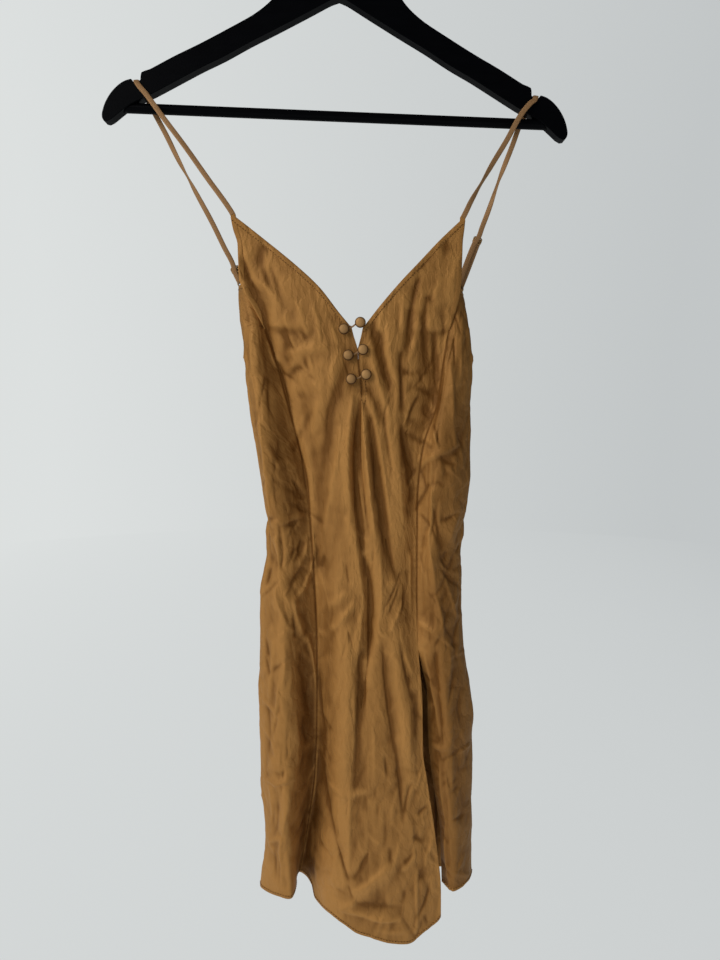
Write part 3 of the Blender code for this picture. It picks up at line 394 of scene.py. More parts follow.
form = {
    "leftEdge": columns("drop x y", [
        (311, -108, -28), (325, -105.5, -27.5), (340, -101.5, -27), (355, -101, -27), (372, -100.5, -27.5),
        (385, -95, -28), (400, -87, -28), (421, -77, -28), (450, -67, -26), (490, -56, -24),
        (530, -46, -23), (570, -37, -22.5), (610, -34.5, -22), (660, -31.5, -22), (740, -29, -19),
        (820, -30, -14), (880, -32.5, -9), (940, -40, -4), (1012, -52, -1)]),
    "rightEdge": columns("drop x y", [
        (314, 116, -28), (325, 115, -28), (340, 113.5, -28), (372, 113, -28), (385, 112, -28),
        (400, 108.5, -28), (422, 102, -28), (450, 97, -29), (490, 91.5, -29), (530, 79, -29),
        (550, 75.5, -29), (590, 73, -28), (660, 73, -28), (740, 75, -31), (790, 79, -35),
        (850, 80.5, -37), (880, 85, -38), (940, 94, -39), (1000, 100.5, -39), (1035, 101, -39)]),
    "slitEdge": columns("drop x y", [
        (742, 75.3, -30.5), (760, 79.5, -26), (790, 85.5, -24), (820, 86.5, -24), (850, 88, -25),
        (880, 91.5, -26), (940, 100.5, -28), (1006, 103.5, -28)]),
    "front": columns("drop left_y centre_x centre_y right_y", [
        (311, -31, 12, -34, -31), (372, -35, 12.5, -36, -35), (420, -38, 13, -37, -38),
        (450, -38, 14, -38, -38), (484, -37, 17.5, -38, -37), (530, -35, 17, -38, -36),
        (600, -34, 20, -37, -36), (680, -35, 22, -37, -37), (760, -37, 22, -38, -39),
        (850, -38, 23, -42, -42), (940, -38, 24, -44, -44), (1057, -37, 26, -46, -46)]),
    "leftSide": columns("drop ridge_x ridge_y fold_x fold_y tuck_x tuck_y turn_x turn_y back_x back_y", [
        (374, -99.5, -18.5, -102, -12, -104, -4, -104, 5, -103.5, 12),
        (385, -96.5, -21, -102.3, -13, -104.5, -4, -104, 5, -103, 12),
        (395, -93, -23.5, -102.6, -13.5, -104, -4, -103.8, 5, -102.5, 12),
        (408, -88, -26.5, -102.3, -14.5, -102, -4.5, -103.5, 4, -102, 12.5),
        (420, -86, -30, -100.5, -16.5, -98, -5, -102, 4, -101, 13),
        (435, -88, -32, -99, -20, -88, -6, -99, 3, -98, 13),
        (450, -88, -34, -97.5, -22, -76, -6, -96, 3, -94, 13),
        (490, -83, -36, -93.5, -24, -50, -6, -91, 4, -84, 14),
        (530, -77, -37, -87.5, -25, -41, -6, -85, 4, -76, 14),
        (570, -74, -36, -82.5, -24, -36, -6, -79, 4, -68, 14),
        (610, -69, -35, -78.5, -23, -34, -6, -75, 4, -62, 14),
        (640, -66, -35, -78.5, -22, -33, -6, -75, 4, -60, 14),
        (680, -63, -37, -86, -22, -36, -5, -82, 5, -60, 15),
        (740, -61, -40, -87.5, -22, -40, -3, -84, 6, -62, 16),
        (820, -62, -42, -89, -22, -48, 0, -85, 7, -64, 17),
        (880, -61, -43, -88, -22, -56, 1, -84, 8, -66, 17),
        (940, -60, -44, -85, -23, -64, 2, -82, 9, -68, 18),
        (1012, -56, -45, -92, -22, -70, 2, -87, 9, -70, 18)]),
    "rightSide": columns("drop ridge_x ridge_y fold_x fold_y tuck_x tuck_y turn_x turn_y back_x back_y", [
        (380, 112, -20, 115.2, -12.5, 116.2, -4, 116.4, 5, 115.5, 12),
        (395, 112.5, -23, 118.7, -13.5, 119.4, -4, 119, 5, 116, 12),
        (408, 111.5, -26.5, 121.6, -14.5, 119.5, -5, 121, 4, 116, 12.5),
        (420, 110, -29.5, 123, -16, 117, -6, 122, 4, 115.5, 13),
        (435, 107, -31, 124.8, -19, 112, -6, 123, 3, 114, 14),
        (450, 104, -33.5, 125.5, -21, 102, -6, 123, 3, 112, 14),
        (490, 96, -37, 125.5, -20, 80, -6, 121, 4, 104, 14),
        (530, 91, -38, 125.5, -19, 72, -6, 121, 4, 98, 15),
        (570, 90, -38.5, 126, -19, 68, -6, 121, 4, 94, 15),
        (610, 88, -38, 121.5, -19, 66, -6, 117, 4, 90, 15),
        (640, 88, -38, 118.5, -18, 66, -6, 114, 4, 88, 15),
        (680, 91, -38, 119, -17, 68, -5, 115, 5, 88, 15),
        (740, 97, -39, 123, -18, 74, -3, 119, 5, 90, 16),
        (790, 101, -39, 130.5, -18, 84, -2, 125, 6, 94, 16),
        (820, 103, -39, 134, -17, 92, -1, 128, 6, 96, 17),
        (880, 107, -39, 134, -17, 104, 0, 128, 7, 98, 17),
        (940, 110, -39, 135, -15, 112, 1, 129, 8, 100, 18),
        (1006, 113, -38, 136, -14, 116, 1, 130, 8, 102, 18)]),
    "neckLeft": columns("x drop", [
        (-108, 310.5), (-89, 325), (-60, 348), (-42, 363), (-23, 381), (-4, 405), (6, 417)]),
    "neckRight": columns("x drop", [
        (19.8, 417), (35, 398), (54, 376), (73, 356), (92, 336), (116, 313.5)]),
    "backTop": columns("x drop", [
        (-104, 374.5), (-88, 398), (-55, 430), (5, 447), (65, 432), (98, 404), (116, 380)]),
    "frontHem": columns("x drop", [
        (-52, 1007), (-44, 1009), (-37, 1013), (-33, 1025), (-16, 1030), (-5, 1036), (12, 1046),
        (27, 1050), (52, 1056), (67, 1057), (83, 1047), (98, 1036), (102, 1030)]),
    "sideEnds": columns("station left_top left_hem right_top right_hem", [
        (0, 376, 1007, 379, 999), (1, 375, 1006, 379, 1003), (2, 375, 1007, 379.5, 997),
        (3, 375, 1001, 380, 1001), (4, 375, 998, 380, 1008), (5, 374.5, 996, 380, 1014)]),
    "backHem": columns("x drop", [(-72, 996), (15, 1001), (70, 1009), (103, 1014)]),
    "slitHalf": columns("drop half", [
        (417, 5.8), (426, 3.7), (434, 1.4), (438, 0.35), (441, 0.08), (483.9, 0.08), (484, 0.0)]),
    "armholeLeft": 421.0, "armholeRight": 422.0,
    "thighSlitTop": 742.0, "thighSlitRun": 55.0, "tuckedUnder": 5.0,
}


# a section's point at each drop: smooth lines through the table's x and y columns
def station(rows, x, y):
    def place(drop):
        return np.stack([smooth(drop, rows["drop"], rows[x]), smooth(drop, rows["drop"], rows[y])], -1)
    return place


# the front's point halfway between a seam and the middle, at its own depth
def frontSwell(edge, column):
    def place(drop):
        rows = form["front"]
        x = (smooth(drop, edge["drop"], edge["x"]) + smooth(drop, rows["drop"], rows["centre_x"])) / 2
        return np.stack([x, smooth(drop, rows["drop"], rows[column])], -1)
    return place


# the back's point at a share of the way from the left back seam to the right one, moved back by depth
def backStation(share, depth):
    left = station(form["leftSide"], "back_x", "back_y")
    right = station(form["rightSide"], "back_x", "back_y")
    return lambda drop: left(drop) * (1 - share) + right(drop) * share + np.array([0.0, depth])


# a side panel's front edge: behind the cup above their seam, then the seam itself
def underCup(edge, armhole, inward):
    seam = station(edge, "x", "y")

    def place(drop):
        back = form["tuckedUnder"] * (1 - ramp(drop, armhole - 8, armhole + 1))
        return seam(drop) + back[..., None] * np.array([inward, 1.0])
    return place


# the right panel's front edge: on the seam above the thigh slit, on its own line below
def slitStation():
    seam, own = underCup(form["rightEdge"], form["armholeRight"], -1.0), station(form["slitEdge"], "x", "y")

    def place(drop):
        return np.where((drop < form["thighSlitTop"])[..., None], seam(drop), own(drop))
    return place


def sideStations(rows, first):
    return [first] + [station(rows, f"{n}_x", f"{n}_y") for n in ("ridge", "fold", "tuck", "turn", "back")]


# One panel. Its section at a drop is the smooth line through its stations, each span a Hermite cubic
# a(1+2f)g^2 + b(1+2g)f^2 + length f g (tangent_a g - tangent_b f), with g = 1 - f.
class Panel:
    def __init__(self, stations, before, after, joinedBefore, joinedAfter, relief, startSeam, endSeam, turn):
        self.stations, self.before, self.after = stations, before, after
        self.joinedBefore, self.joinedAfter, self.relief = joinedBefore, joinedAfter, relief
        self.last = len(stations) - 1
        self.seams = (startSeam, endSeam)     # -1 at a front seam, whose cloth moves to -Y, 1 at a back one
        self.turn = turn                      # 1 where the outward side is on the right of the stations' way

    def ring(self, drop):
        here = [place(drop) for place in self.stations]
        freeStart, freeEnd = 2 * here[0] - here[1], 2 * here[-1] - here[-2]
        start = freeStart + self.joinedBefore(drop)[..., None] * (self.before(drop) - freeStart)
        end = freeEnd + self.joinedAfter(drop)[..., None] * (self.after(drop) - freeEnd)
        return np.stack([start] + here + [end])

    def plan(self, s, drop):
        s, drop = np.broadcast_arrays(np.asarray(s, float), np.asarray(drop, float))
        ring = self.ring(drop)
        chord = np.linalg.norm(np.diff(ring, axis=0), axis=-1)[..., None]
        way = np.diff(ring, axis=0) / chord
        tangent = (way[1:] * chord[:-1] + way[:-1] * chord[1:]) / (chord[1:] + chord[:-1])
        i = np.clip(np.floor(s).astype(int), 0, self.last - 1)
        f = (s - i)[..., None]
        g = 1 - f

        def pick(values, index):
            return np.take_along_axis(values, index[None, ..., None], axis=0)[0]
        xy = (pick(ring, i + 1) * g * g * (1 + 2 * f) + pick(ring, i + 2) * f * f * (1 + 2 * g)
              + pick(chord, i + 1) * f * g * (pick(tangent, i) * g - pick(tangent, i + 1) * f))
        return xy[..., 0], xy[..., 1]

    def flat(self, s, drop):
        x, y = self.plan(s, drop)
        return np.stack([x, y, np.broadcast_to(-np.asarray(drop, float), x.shape)], -1)

    # outward normal: cross product of the steps along and down the section
    def normal(self, s, drop):
        across = self.flat(np.minimum(s + 0.01, self.last), drop) - self.flat(np.maximum(s - 0.01, 0), drop)
        down = self.flat(s, drop + 0.8) - self.flat(s, drop - 0.8)
        return self.turn * unit(np.cross(across, down))

    # how far each point is from the panel's two edges, along the section
    def edges(self, s, drop):
        ring = self.ring(drop)
        first = np.linalg.norm(ring[2] - ring[1], axis=-1)
        final = np.linalg.norm(ring[-2] - ring[-3], axis=-1)
        return np.maximum(s, 0) * first, np.maximum(self.last - s, 0) * final

    # the cloth itself: the smooth section moved out along its normal by its relief. Towards a seam the move
    # turns to straight out, so that both panels meet; the seam is a groove of 0.5 exp(-(away / 1.2)^2) with
    # puckers of 0.2 sin beside it
    def cloth(self, s, drop):
        s, drop = (np.array(v) for v in np.broadcast_arrays(np.asarray(s, float), np.asarray(drop, float)))
        base = self.flat(s, drop)
        toEdges = self.edges(s, drop)
        out = self.normal(s, drop)
        own, inner = np.ones(s.shape), np.ones(s.shape)
        for away, seam in zip(toEdges, self.seams):
            share = np.exp(-(away / 5.0) ** 2)[..., None]
            out = unit(out * (1 - share) + np.array([0.0, seam, 0.0]) * share)
            own = own * (1 - np.exp(-(away / 7.0) ** 2))
            if seam > 0:
                inner = inner * (1 - np.exp(-(away / 7.0) ** 2))
        height = self.relief(s, drop, base[..., 0], own) * inner
        away = np.minimum(*toEdges)
        pucker = np.sin(drop * 0.83 + 2.5 * noise(drop / 17, drop * 0 + 3.3, 71))
        pucker = pucker * (0.7 + noise(drop / 9, drop * 0, 72))
        sewn = np.where(toEdges[0] < toEdges[1], self.joinedBefore(drop), self.joinedAfter(drop))
        height += sewn * (0.2 * pucker * np.exp(-(away / 4.5) ** 2) - 0.5 * np.exp(-(away / 1.2) ** 2))
        return base + out * height[..., None]


def always(drop):
    return np.ones_like(drop)


def joinedLeft(drop):
    return ramp(drop, form["armholeLeft"] - 8, form["armholeLeft"])


def joinedAboveSlit(drop):
    return 1 - ramp(drop, form["thighSlitTop"] - form["thighSlitRun"], form["thighSlitTop"])


def joinedRight(drop):
    return ramp(drop, form["armholeRight"] - 8, form["armholeRight"]) * joinedAboveSlit(drop)


# x1 drop1 x2 drop2 x3 drop3 height, flank on the left of a falling line, flank on its right
softFolds = [                     # broad and soft
    (-99, 330, -92, 362, -84, 395, 2.8, 6, 6), (-96, 352, -82, 402, -60, 480, -4.0, 6, 8),
    (9, 470, 3, 560, 12, 675, 2.2, 10, 8),
    (16, 484, 11, 560, 21, 665, -5.0, 5, 6),
    (20, 640, 26, 690, 24, 750, -5.5, 6, 5),
    (17, 480, 24, 560, 34, 670, 2.8, 5, 5),
    (26, 500, 38, 600, 48, 670, -4.0, 7, 8),
    (34, 478, 52, 560, 64, 660, 2.6, 8, 7),
    (16, 735, 14, 790, 10, 870, -2.5, 6, 7),
    (4, 700, 2, 800, -4, 960, 2.5, 9, 6),
    (38, 728, 48, 812, 60, 912, -2.0, 7, 8),
    (46, 700, 60, 800, 72, 900, 2.5, 8, 8),
    (-26, 867, -12, 934, 3, 990, -2.0, 7, 7),
    (10, 1010, 28, 991, 52, 970, 2.0, 8, 8),
    (66, 400, 63, 425, 55, 500, -2.5, 6, 6),
    (104, 345, 104, 375, 98, 405, 1.8, 8, 5),
    (35, 420, 38, 450, 46, 486, -2.0, 7, 6),
    (-60, 690, -56, 760, -52, 850, 1.5, 12, 9),
    (-46, 720, -42, 780, -36, 850, -2.0, 8, 6),
    (-40, 515, -34, 560, -31, 620, 1.2, 7, 4),
    (-8, 470, -15, 510, -20, 570, -1.6, 6, 7),
    (88, 590, 94, 620, 104, 660, -2.0, 8, 8),
    (103, 560, 107, 590, 108, 640, 1.5, 7, 6),
    (110, 740, 114, 820, 118, 930, -1.5, 7, 7),
    (54, 760, 60, 840, 66, 940, 1.2, 9, 9),
    (72, 780, 72, 815, 71, 850, -1.6, 5, 4),
    (20, 790, 28, 850, 34, 930, 1.0, 10, 10),
    (-76, 850, -75, 880, -74, 940, 1.2, 6, 6),
    (-57, 850, -57, 885, -64, 935, 1.6, 8, 6),
]
bustCreases = [
    (-103, 325, -95, 358, -80, 395, -1.8, 3, 4), (-103, 335, -100, 365, -91, 394, 1.0, 3, 3),
    (-80, 392, -74, 422, -65, 450, -2.3, 3.5, 4), (-66, 448, -58, 472, -49, 515, -2.2, 3.5, 3.5),
    (-75, 428, -70, 446, -62, 464, 1.0, 2.5, 2.5), (-56, 416, -53, 430, -50, 440, -1.2, 3, 2.5),
    (-58, 400, -53, 424, -47, 436, 0.9, 3, 3), (-57, 447, -54, 442, -49, 437, 1.0, 2.5, 2.5),
    (-51, 445, -35, 440, -16, 438, 1.5, 2.8, 7), (-57, 463, -52, 456, -47, 452, 1.0, 2.5, 2.5),
    (-54, 464, -46, 457, -38, 459, -1.3, 4, 3.5), (-40, 442, -37, 452, -33, 462, -0.9, 2, 2.5),
    (-36, 462, -32, 465, -28, 468, -0.7, 2, 2), (-30, 472, -26, 475, -21, 478, 0.7, 2, 2),
    (-45, 478, -44, 483, -43, 488, -0.5, 1.8, 1.8), (-38, 478, -40, 483, -43, 487, -0.5, 1.8, 1.8),
    (-3, 438, -10, 460, -16, 497, 1.2, 5, 4), (-24, 488, -27, 503, -31, 521, 1.0, 4, 3),
    (9, 478, 7, 500, 3, 540, 1.1, 3, 3), (-84, 372, -70, 385, -58, 404, 0.7, 4, 3),
    (-70, 360, -62, 385, -60, 408, -0.8, 4, 4), (-48, 392, -40, 405, -36, 425, 0.7, 3.5, 3),
    (-30, 398, -25, 412, -22, 432, 0.8, 3, 3), (-26, 420, -33, 427, -40, 430, -0.6, 2.5, 2.5),
    (-88, 398, -82, 415, -80, 436, 0.8, 3, 3), (-93, 410, -90, 440, -88, 470, 1.0, 4, 3),
    (-40, 415, -39, 424, -36, 432, -0.6, 2, 2), (-12, 412, -9, 425, -6, 436, 0.7, 3, 3),
    (73, 370, 66, 395, 62, 430, -1.7, 3.5, 4), (80, 388, 78, 410, 80, 452, -1.5, 3, 3.5),
    (56, 440, 55, 462, 58, 512, -1.7, 3, 3), (33, 418, 38, 448, 45, 480, -1.4, 4, 3),
    (26, 428, 31, 458, 47, 508, 1.4, 4, 3), (51, 452, 52, 480, 48, 515, 1.0, 2, 2.5),
    (87, 425, 89, 448, 90, 474, -1.3, 3, 3), (44, 412, 43, 438, 47, 462, 1.3, 5, 4),
    (71, 413, 68, 435, 63, 452, 1.1, 3, 2.5), (74, 482, 66, 496, 61, 515, -1.3, 3, 3),
    (68, 486, 62, 500, 58, 518, 0.9, 2.5, 2.5), (50, 455, 62, 461, 76, 460, -1.0, 3, 3),
    (66, 468, 65, 474, 63, 481, -0.7, 2, 2), (72, 366, 80, 354, 89, 344, -1.1, 3, 3),
    (78, 392, 82, 390, 88, 396, -0.9, 2.5, 2.5), (95, 372, 88, 384, 91, 400, 0.7, 3, 3),
    (74, 400, 75, 412, 77, 424, -1.0, 2, 2.5), (84, 405, 83, 430, 84, 460, 0.7, 3, 2.5),
    (55, 395, 52, 412, 50, 428, -0.8, 3, 3), (60, 385, 56, 400, 58, 420, 0.8, 3, 2.5),
    (30, 404, 28, 420, 30, 436, -0.8, 3, 3), (40, 395, 36, 410, 35, 424, 0.8, 3, 3),
    (75, 455, 80, 470, 82, 486, 0.6, 3, 3), (47, 480, 40, 500, 42, 515, -0.9, 2.5, 2.5),
    (19, 480, 27, 498, 33, 520, 0.8, 2, 2.5), (22, 474, 30, 490, 38, 515, -0.8, 2, 2),
]
waistCreases = [
    (-82, 500, -75.5, 550, -73, 605, 2.3, 6, 2.5), (-52, 515, -42, 548, -35, 612, -1.9, 4, 3),
    (-53, 565, -46, 577, -41, 588, -1.1, 2, 2), (-58, 545, -52, 552, -46, 557, 0.8, 3, 3),
    (-62, 575, -57, 590, -54, 601, 0.6, 3, 3), (-73, 613, -58, 607, -39, 602, 1.9, 2.5, 6),
    (-57, 623, -55, 617, -53, 611, 0.7, 1.6, 1.6), (-50, 619, -48, 613, -44, 608, 0.7, 1.6, 1.6),
    (-70, 622, -66, 634, -67, 651, 1.2, 3, 3), (-63, 622, -61, 640, -64, 656, -1.1, 2.5, 2.5),
    (-52, 624, -51, 640, -58, 653, -0.9, 2.5, 2), (-40, 622, -39, 638, -47, 654, 1.4, 3.5, 2.5),
    (-44, 625, -46, 640, -52, 651, -0.9, 2, 2.5), (-32, 616, -32, 648, -38, 668, 1.6, 2.5, 2.2),
    (-37, 663, -42, 677, -52, 687, 1.8, 2.2, 3.5), (-52, 684, -50, 702, -40, 737, 1.8, 2.5, 5),
    (-42, 655, -50, 668, -59, 683, -1.6, 5, 5), (-69, 672, -66, 690, -57, 714, 1.7, 4, 2.2),
    (-60, 681, -56, 676, -51, 671, 0.8, 1.6, 1.6), (-74, 655, -77, 666, -80, 676, -1.0, 2.5, 2.5),
    (-59, 713, -54, 717, -50, 723, 1.0, 2, 2), (-53, 695, -51, 712, -50, 728, -1.2, 2.5, 2),
    (-35, 658, -31, 690, -30, 742, -1.5, 3, 3), (-66, 520, -64, 535, -66, 550, -0.6, 3, 3),
    (-80, 600, -77, 615, -78, 632, -0.7, 2, 2), (-47, 590, -45, 597, -40, 600, -0.7, 2, 2),
    (-3, 512, -7, 552, -21, 618, 1.4, 5, 3.5), (0, 604, 5, 606, 10, 607, 0.8, 1.5, 2.5),
    (-24, 657, -22, 650, -19, 643, -0.7, 1.6, 1.6), (2, 648, 3, 661, 6, 674, -0.7, 1.8, 1.8),
    (3, 673, 6, 671, 9, 676, 0.6, 1.6, 1.6), (-17, 694, -5, 687, 3, 677, 1.0, 2.5, 5),
    (11, 687, 0, 705, -15, 720, 1.4, 4, 2.5), (4, 718, 6, 727, 9, 738, -0.8, 1.8, 1.8),
    (-14, 585, -11, 575, -5, 552, -0.6, 2, 2.5), (12, 486, 5, 545, 9, 604, 2.3, 8, 2.8),
    (9, 596, 14, 640, 20, 692, 2.2, 8, 3.2), (20, 686, 16, 722, 10, 762, 1.9, 7, 3),
    (15, 490, 18, 560, 26, 624, -1.2, 2.5, 2), (28, 618, 29, 640, 27, 659, -0.8, 1.6, 1.6),
    (11, 528, 14, 562, 20, 605, 0.9, 2, 2), (17, 484, 23, 555, 32, 626, 2.1, 3, 2.5),
    (29, 528, 30, 558, 29, 590, -1.4, 3, 2.5), (26, 478, 38, 550, 48, 622, 1.5, 4, 3),
    (33, 480, 43, 530, 47, 566, -1.2, 2.5, 2), (52, 510, 53, 550, 58, 612, 1.1, 4, 5),
    (57, 510, 60, 532, 69, 563, -1.7, 4, 3), (62, 571, 66, 565, 71, 554, -1.0, 2, 2),
    (33, 616, 37, 670, 35, 708, 1.3, 3, 5), (34, 704, 36, 719, 44, 723, 1.5, 2, 4),
    (58, 687, 53, 703, 46, 720, 1.3, 3, 2.5), (57, 657, 48, 681, 38, 698, -0.9, 2, 2),
    (57, 665, 51, 685, 43, 703, -0.8, 1.8, 1.8), (60, 671, 59, 690, 56, 703, -0.7, 1.8, 1.8),
    (66, 638, 66, 670, 67, 707, 0.9, 3, 2), (25, 700, 25, 735, 22, 768, -1.7, 3.5, 2.2),
    (22, 760, 20, 785, 16, 805, -1.6, 3, 2.2), (41, 622, 46, 640, 52, 668, -0.9, 4, 3),
    (-28, 722, -24, 726, -19, 724, 0.5, 2, 2), (18, 700, 13, 718, 10, 737, 0.7, 2.5, 2.5),
]
sideCreases = [
    (103, 448, 105, 480, 106, 522, 1.7, 5, 2.2), (106, 425, 107, 440, 107, 458, -1.0, 2, 2),
    (100, 425, 99, 445, 98, 472, 0.9, 4, 3), (113, 425, 114, 445, 113, 470, 0.8, 3, 2.5),
    (87, 517, 90, 527, 93, 537, 1.1, 2, 2), (76, 552, 88, 543, 115, 530, 2.0, 2.5, 6),
    (93, 541, 101, 547, 111, 552, -1.1, 2.5, 3), (108, 511, 108, 524, 110, 534, 0.9, 2, 2),
    (103, 551, 106, 560, 108, 571, 0.8, 2.5, 2.5), (88, 572, 93, 568, 99, 574, -0.7, 2, 2),
    (84, 569, 77, 585, 71, 601, -1.5, 3, 2.5), (86, 571, 87, 592, 84, 624, 2.0, 4, 2.2),
    (75, 552, 79, 566, 81, 579, -0.9, 3, 3), (99, 608, 105, 604, 112, 598, -0.9, 2, 2),
    (95, 584, 94, 600, 95, 613, 0.9, 2.5, 2.5), (83, 616, 88, 648, 92, 686, 1.7, 4, 2.6),
    (91, 681, 97, 703, 99, 728, 1.8, 3, 2.2), (101, 663, 107, 686, 114, 712, 1.2, 1.8, 2.2),
    (74, 715, 84, 716, 99, 728, 1.5, 2.5, 4), (98, 727, 105, 733, 114, 746, 0.9, 2, 3),
    (90, 738, 94, 729, 99, 722, -0.9, 2, 2), (92, 735, 92, 760, 95, 786, -1.6, 3.5, 3),
    (95, 784, 98, 812, 101, 843, -1.5, 3, 3), (79, 740, 90, 780, 98, 836, 1.7, 3, 3),
    (104, 733, 107, 752, 106, 777, 1.1, 4, 4), (104, 826, 108, 822, 114, 817, 0.9, 2, 2.5),
    (111, 829, 108, 834, 106, 840, 0.8, 2, 2), (91, 841, 98, 845, 112, 837, 1.1, 2, 3.5),
    (98, 853, 101, 890, 106, 927, 1.6, 4, 3), (106, 921, 106, 955, 109, 992, 1.4, 4, 3),
    (103, 932, 105, 941, 108, 950, -0.8, 1.8, 1.8), (110, 920, 117, 921, 127, 919, -0.9, 2.5, 2.5),
    (127, 963, 122, 972, 116, 982, 0.9, 2, 2), (112, 850, 110, 870, 113, 895, 0.8, 3, 3),
    (120, 780, 118, 800, 121, 830, -0.8, 3, 3), (110, 690, 104, 700, 100, 712, -0.7, 2.5, 2),
    (113, 600, 108, 612, 104, 630, 0.9, 2.5, 3), (96, 640, 101, 652, 108, 658, -0.8, 2.5, 2.5),
    (-71, 726, -74, 760, -78, 802, 1.2, 5, 4), (-81, 727, -79, 738, -77, 747, -0.8, 1.6, 1.6),
    (-80, 749, -78, 758, -76, 767, -0.7, 1.6, 1.6), (-61, 730, -60, 752, -63, 778, 1.4, 5, 2.8),
    (-65, 769, -68, 795, -71, 817, 1.5, 2.5, 2.8), (-64, 788, -69, 810, -73, 830, -1.0, 2.5, 2.5),
    (-57, 745, -55, 765, -58, 790, 0.7, 3, 3), (-51, 810, -50, 835, -50, 864, 1.6, 5, 2.8),
    (-41, 727, -34, 752, -29, 802, 1.8, 2, 2), (-38, 777, -38, 795, -37, 814, -1.0, 2, 2),
    (-43, 814, -42, 832, -39, 850, -1.0, 2, 2), (-27, 764, -25, 800, -21, 837, -1.0, 1.8, 2.2),
    (-81, 878, -69, 880, -55, 873, 1.7, 2, 5), (-63, 865, -63, 871, -61, 877, -0.7, 1.6, 1.6),
    (-58, 880, -60, 910, -66, 945, 1.5, 5, 3), (-65, 938, -66, 960, -66, 992, 1.7, 4, 3),
    (-83, 951, -74, 944, -65, 938, 1.5, 2.5, 5), (-74, 949, -73, 968, -72, 992, -0.9, 2, 2),
    (-31, 848, -32, 890, -38, 937, 1.4, 2, 3), (-79, 800, -77, 825, -79, 850, -0.7, 2, 2.5),
    (-57, 820, -59, 838, -56, 855, -0.6, 2.5, 2.5), (-68, 838, -66, 852, -68, 868, 0.7, 2.5, 2.5),
    (-77, 885, -75, 905, -77, 930, 0.7, 2.5, 2.5), (-70, 892, -69, 915, -71, 934, -0.6, 2.5, 2.5),
]
skirtCreases = [
    (10, 756, 10, 805, 7, 872, 1.9, 8, 2.8), (7, 866, 5, 920, 4, 980, 1.5, 6, 2.8),
    (14, 740, 16, 762, 19, 787, -1.0, 2, 2), (38, 726, 43, 790, 55, 860, -1.0, 2, 2.6),
    (56, 728, 60, 758, 69, 794, -1.2, 2.2, 2.5), (61, 743, 65, 754, 70, 767, 0.9, 1.8, 1.8),
    (65, 788, 66, 820, 66, 852, 1.3, 5, 3), (41, 848, 42, 860, 43, 874, -0.7, 1.8, 1.8),
    (53, 849, 57, 885, 59, 920, -1.2, 2, 2.5), (70, 878, 64, 893, 60, 924, -1.3, 2.5, 2),
    (80, 862, 77, 875, 73, 888, 1.1, 2, 2.5), (75, 915, 80, 910, 87, 904, -1.0, 3, 3),
    (69, 939, 75, 940, 82, 947, -0.9, 2, 2), (46, 947, 47, 958, 47, 973, -0.8, 2, 2),
    (58, 973, 65, 970, 73, 956, 1.0, 2, 4), (61, 967, 66, 962, 71, 954, -0.7, 2, 2),
    (58, 934, 54, 955, 48, 976, 0.7, 3, 3), (-19, 887, -8, 891, 3, 898, 1.2, 2.2, 4.5),
    (4, 895, 13, 890, 24, 886, 1.1, 2.2, 4.5), (-28, 857, -21, 898, -10, 950, -1.1, 2.5, 2.5),
    (-11, 946, -4, 966, 4, 989, -1.6, 2.5, 2), (-29, 955, -22, 960, -13, 969, -0.8, 2, 2),
    (25, 953, 18, 968, 8, 987, -1.2, 2.2, 2.2), (49, 964, 28, 985, 4, 1003, 1.8, 5, 4),
    (3, 991, 6, 1000, 9, 1007, -0.9, 2, 2), (-7, 1023, 3, 1016, 12, 1010, 1.5, 2.2, 5),
    (9, 1011, 30, 1013, 63, 1015, -0.9, 6, 6), (-7, 1022, 12, 1023, 23, 1027, 1.4, 2.2, 4),
    (20, 1026, 38, 1029, 59, 1029, 1.7, 2.4, 6), (75, 970, 75, 1000, 76, 1028, 1.4, 3, 1.8),
    (76, 1026, 75, 1036, 73, 1048, 1.0, 2, 2), (88, 987, 85, 1008, 76, 1028, -1.1, 2.5, 2),
    (84, 1025, 85, 1032, 86, 1039, -0.7, 1.6, 1.6), (-30, 972, -31, 990, -29, 1010, 0.7, 3, 3),
    (-15, 984, -12, 993, -10, 1005, 0.7, 3, 3), (-36, 940, -35, 965, -37, 985, 0.9, 2.5, 2.5),
    (-20, 1000, -10, 999, 2, 1004, -0.6, 3, 3), (30, 880, 34, 905, 33, 930, -0.5, 4, 4),
    (20, 905, 22, 935, 19, 960, 0.5, 4, 4), (40, 900, 42, 925, 40, 950, -0.6, 3, 3),
    (88, 930, 91, 942, 89, 955, 0.9, 2.5, 2.5), (24, 930, 30, 940, 38, 945, 0.5, 2.5, 2.5),
    (-18, 800, -17, 835, -20, 870, 0.6, 4, 4), (-5, 810, -3, 850, -5, 880, -0.4, 4, 4),
    (28, 800, 30, 840, 30, 880, 0.5, 4, 4), (57, 880, 50, 900, 48, 925, 0.6, 3, 3),
    (66, 985, 62, 1000, 60, 1012, -0.5, 3, 3), (34, 1040, 50, 1043, 64, 1042, 0.5, 2.5, 3),
]
frontSharp = bustCreases + waistCreases + sideCreases
frontSharp += strewn(240, 11, (-100, 125), (340, 1045), (0.12, 0.4), (1.6, 3.4), (12, 60), 0.5)
frontSharp += strewn(60, 14, (-92, -35), (430, 1000), (0.3, 0.8), (1.6, 3.6), (12, 50), 0.6)
frontSharp += strewn(80, 15, (74, 130), (400, 1000), (0.3, 0.9), (1.6, 3.6), (12, 50), 0.7)
backFolds = [
    (-70, 450, -48, 600, -44, 980, 3.0, 14, 12),
    (-34, 480, -20, 660, -30, 975, -2.6, 12, 16),
    (12, 500, 6, 660, -4, 985, 2.4, 16, 14),
    (42, 470, 36, 620, 46, 940, -2.8, 13, 17),
    (84, 450, 62, 600, 70, 980, 3.0, 14, 12),
]
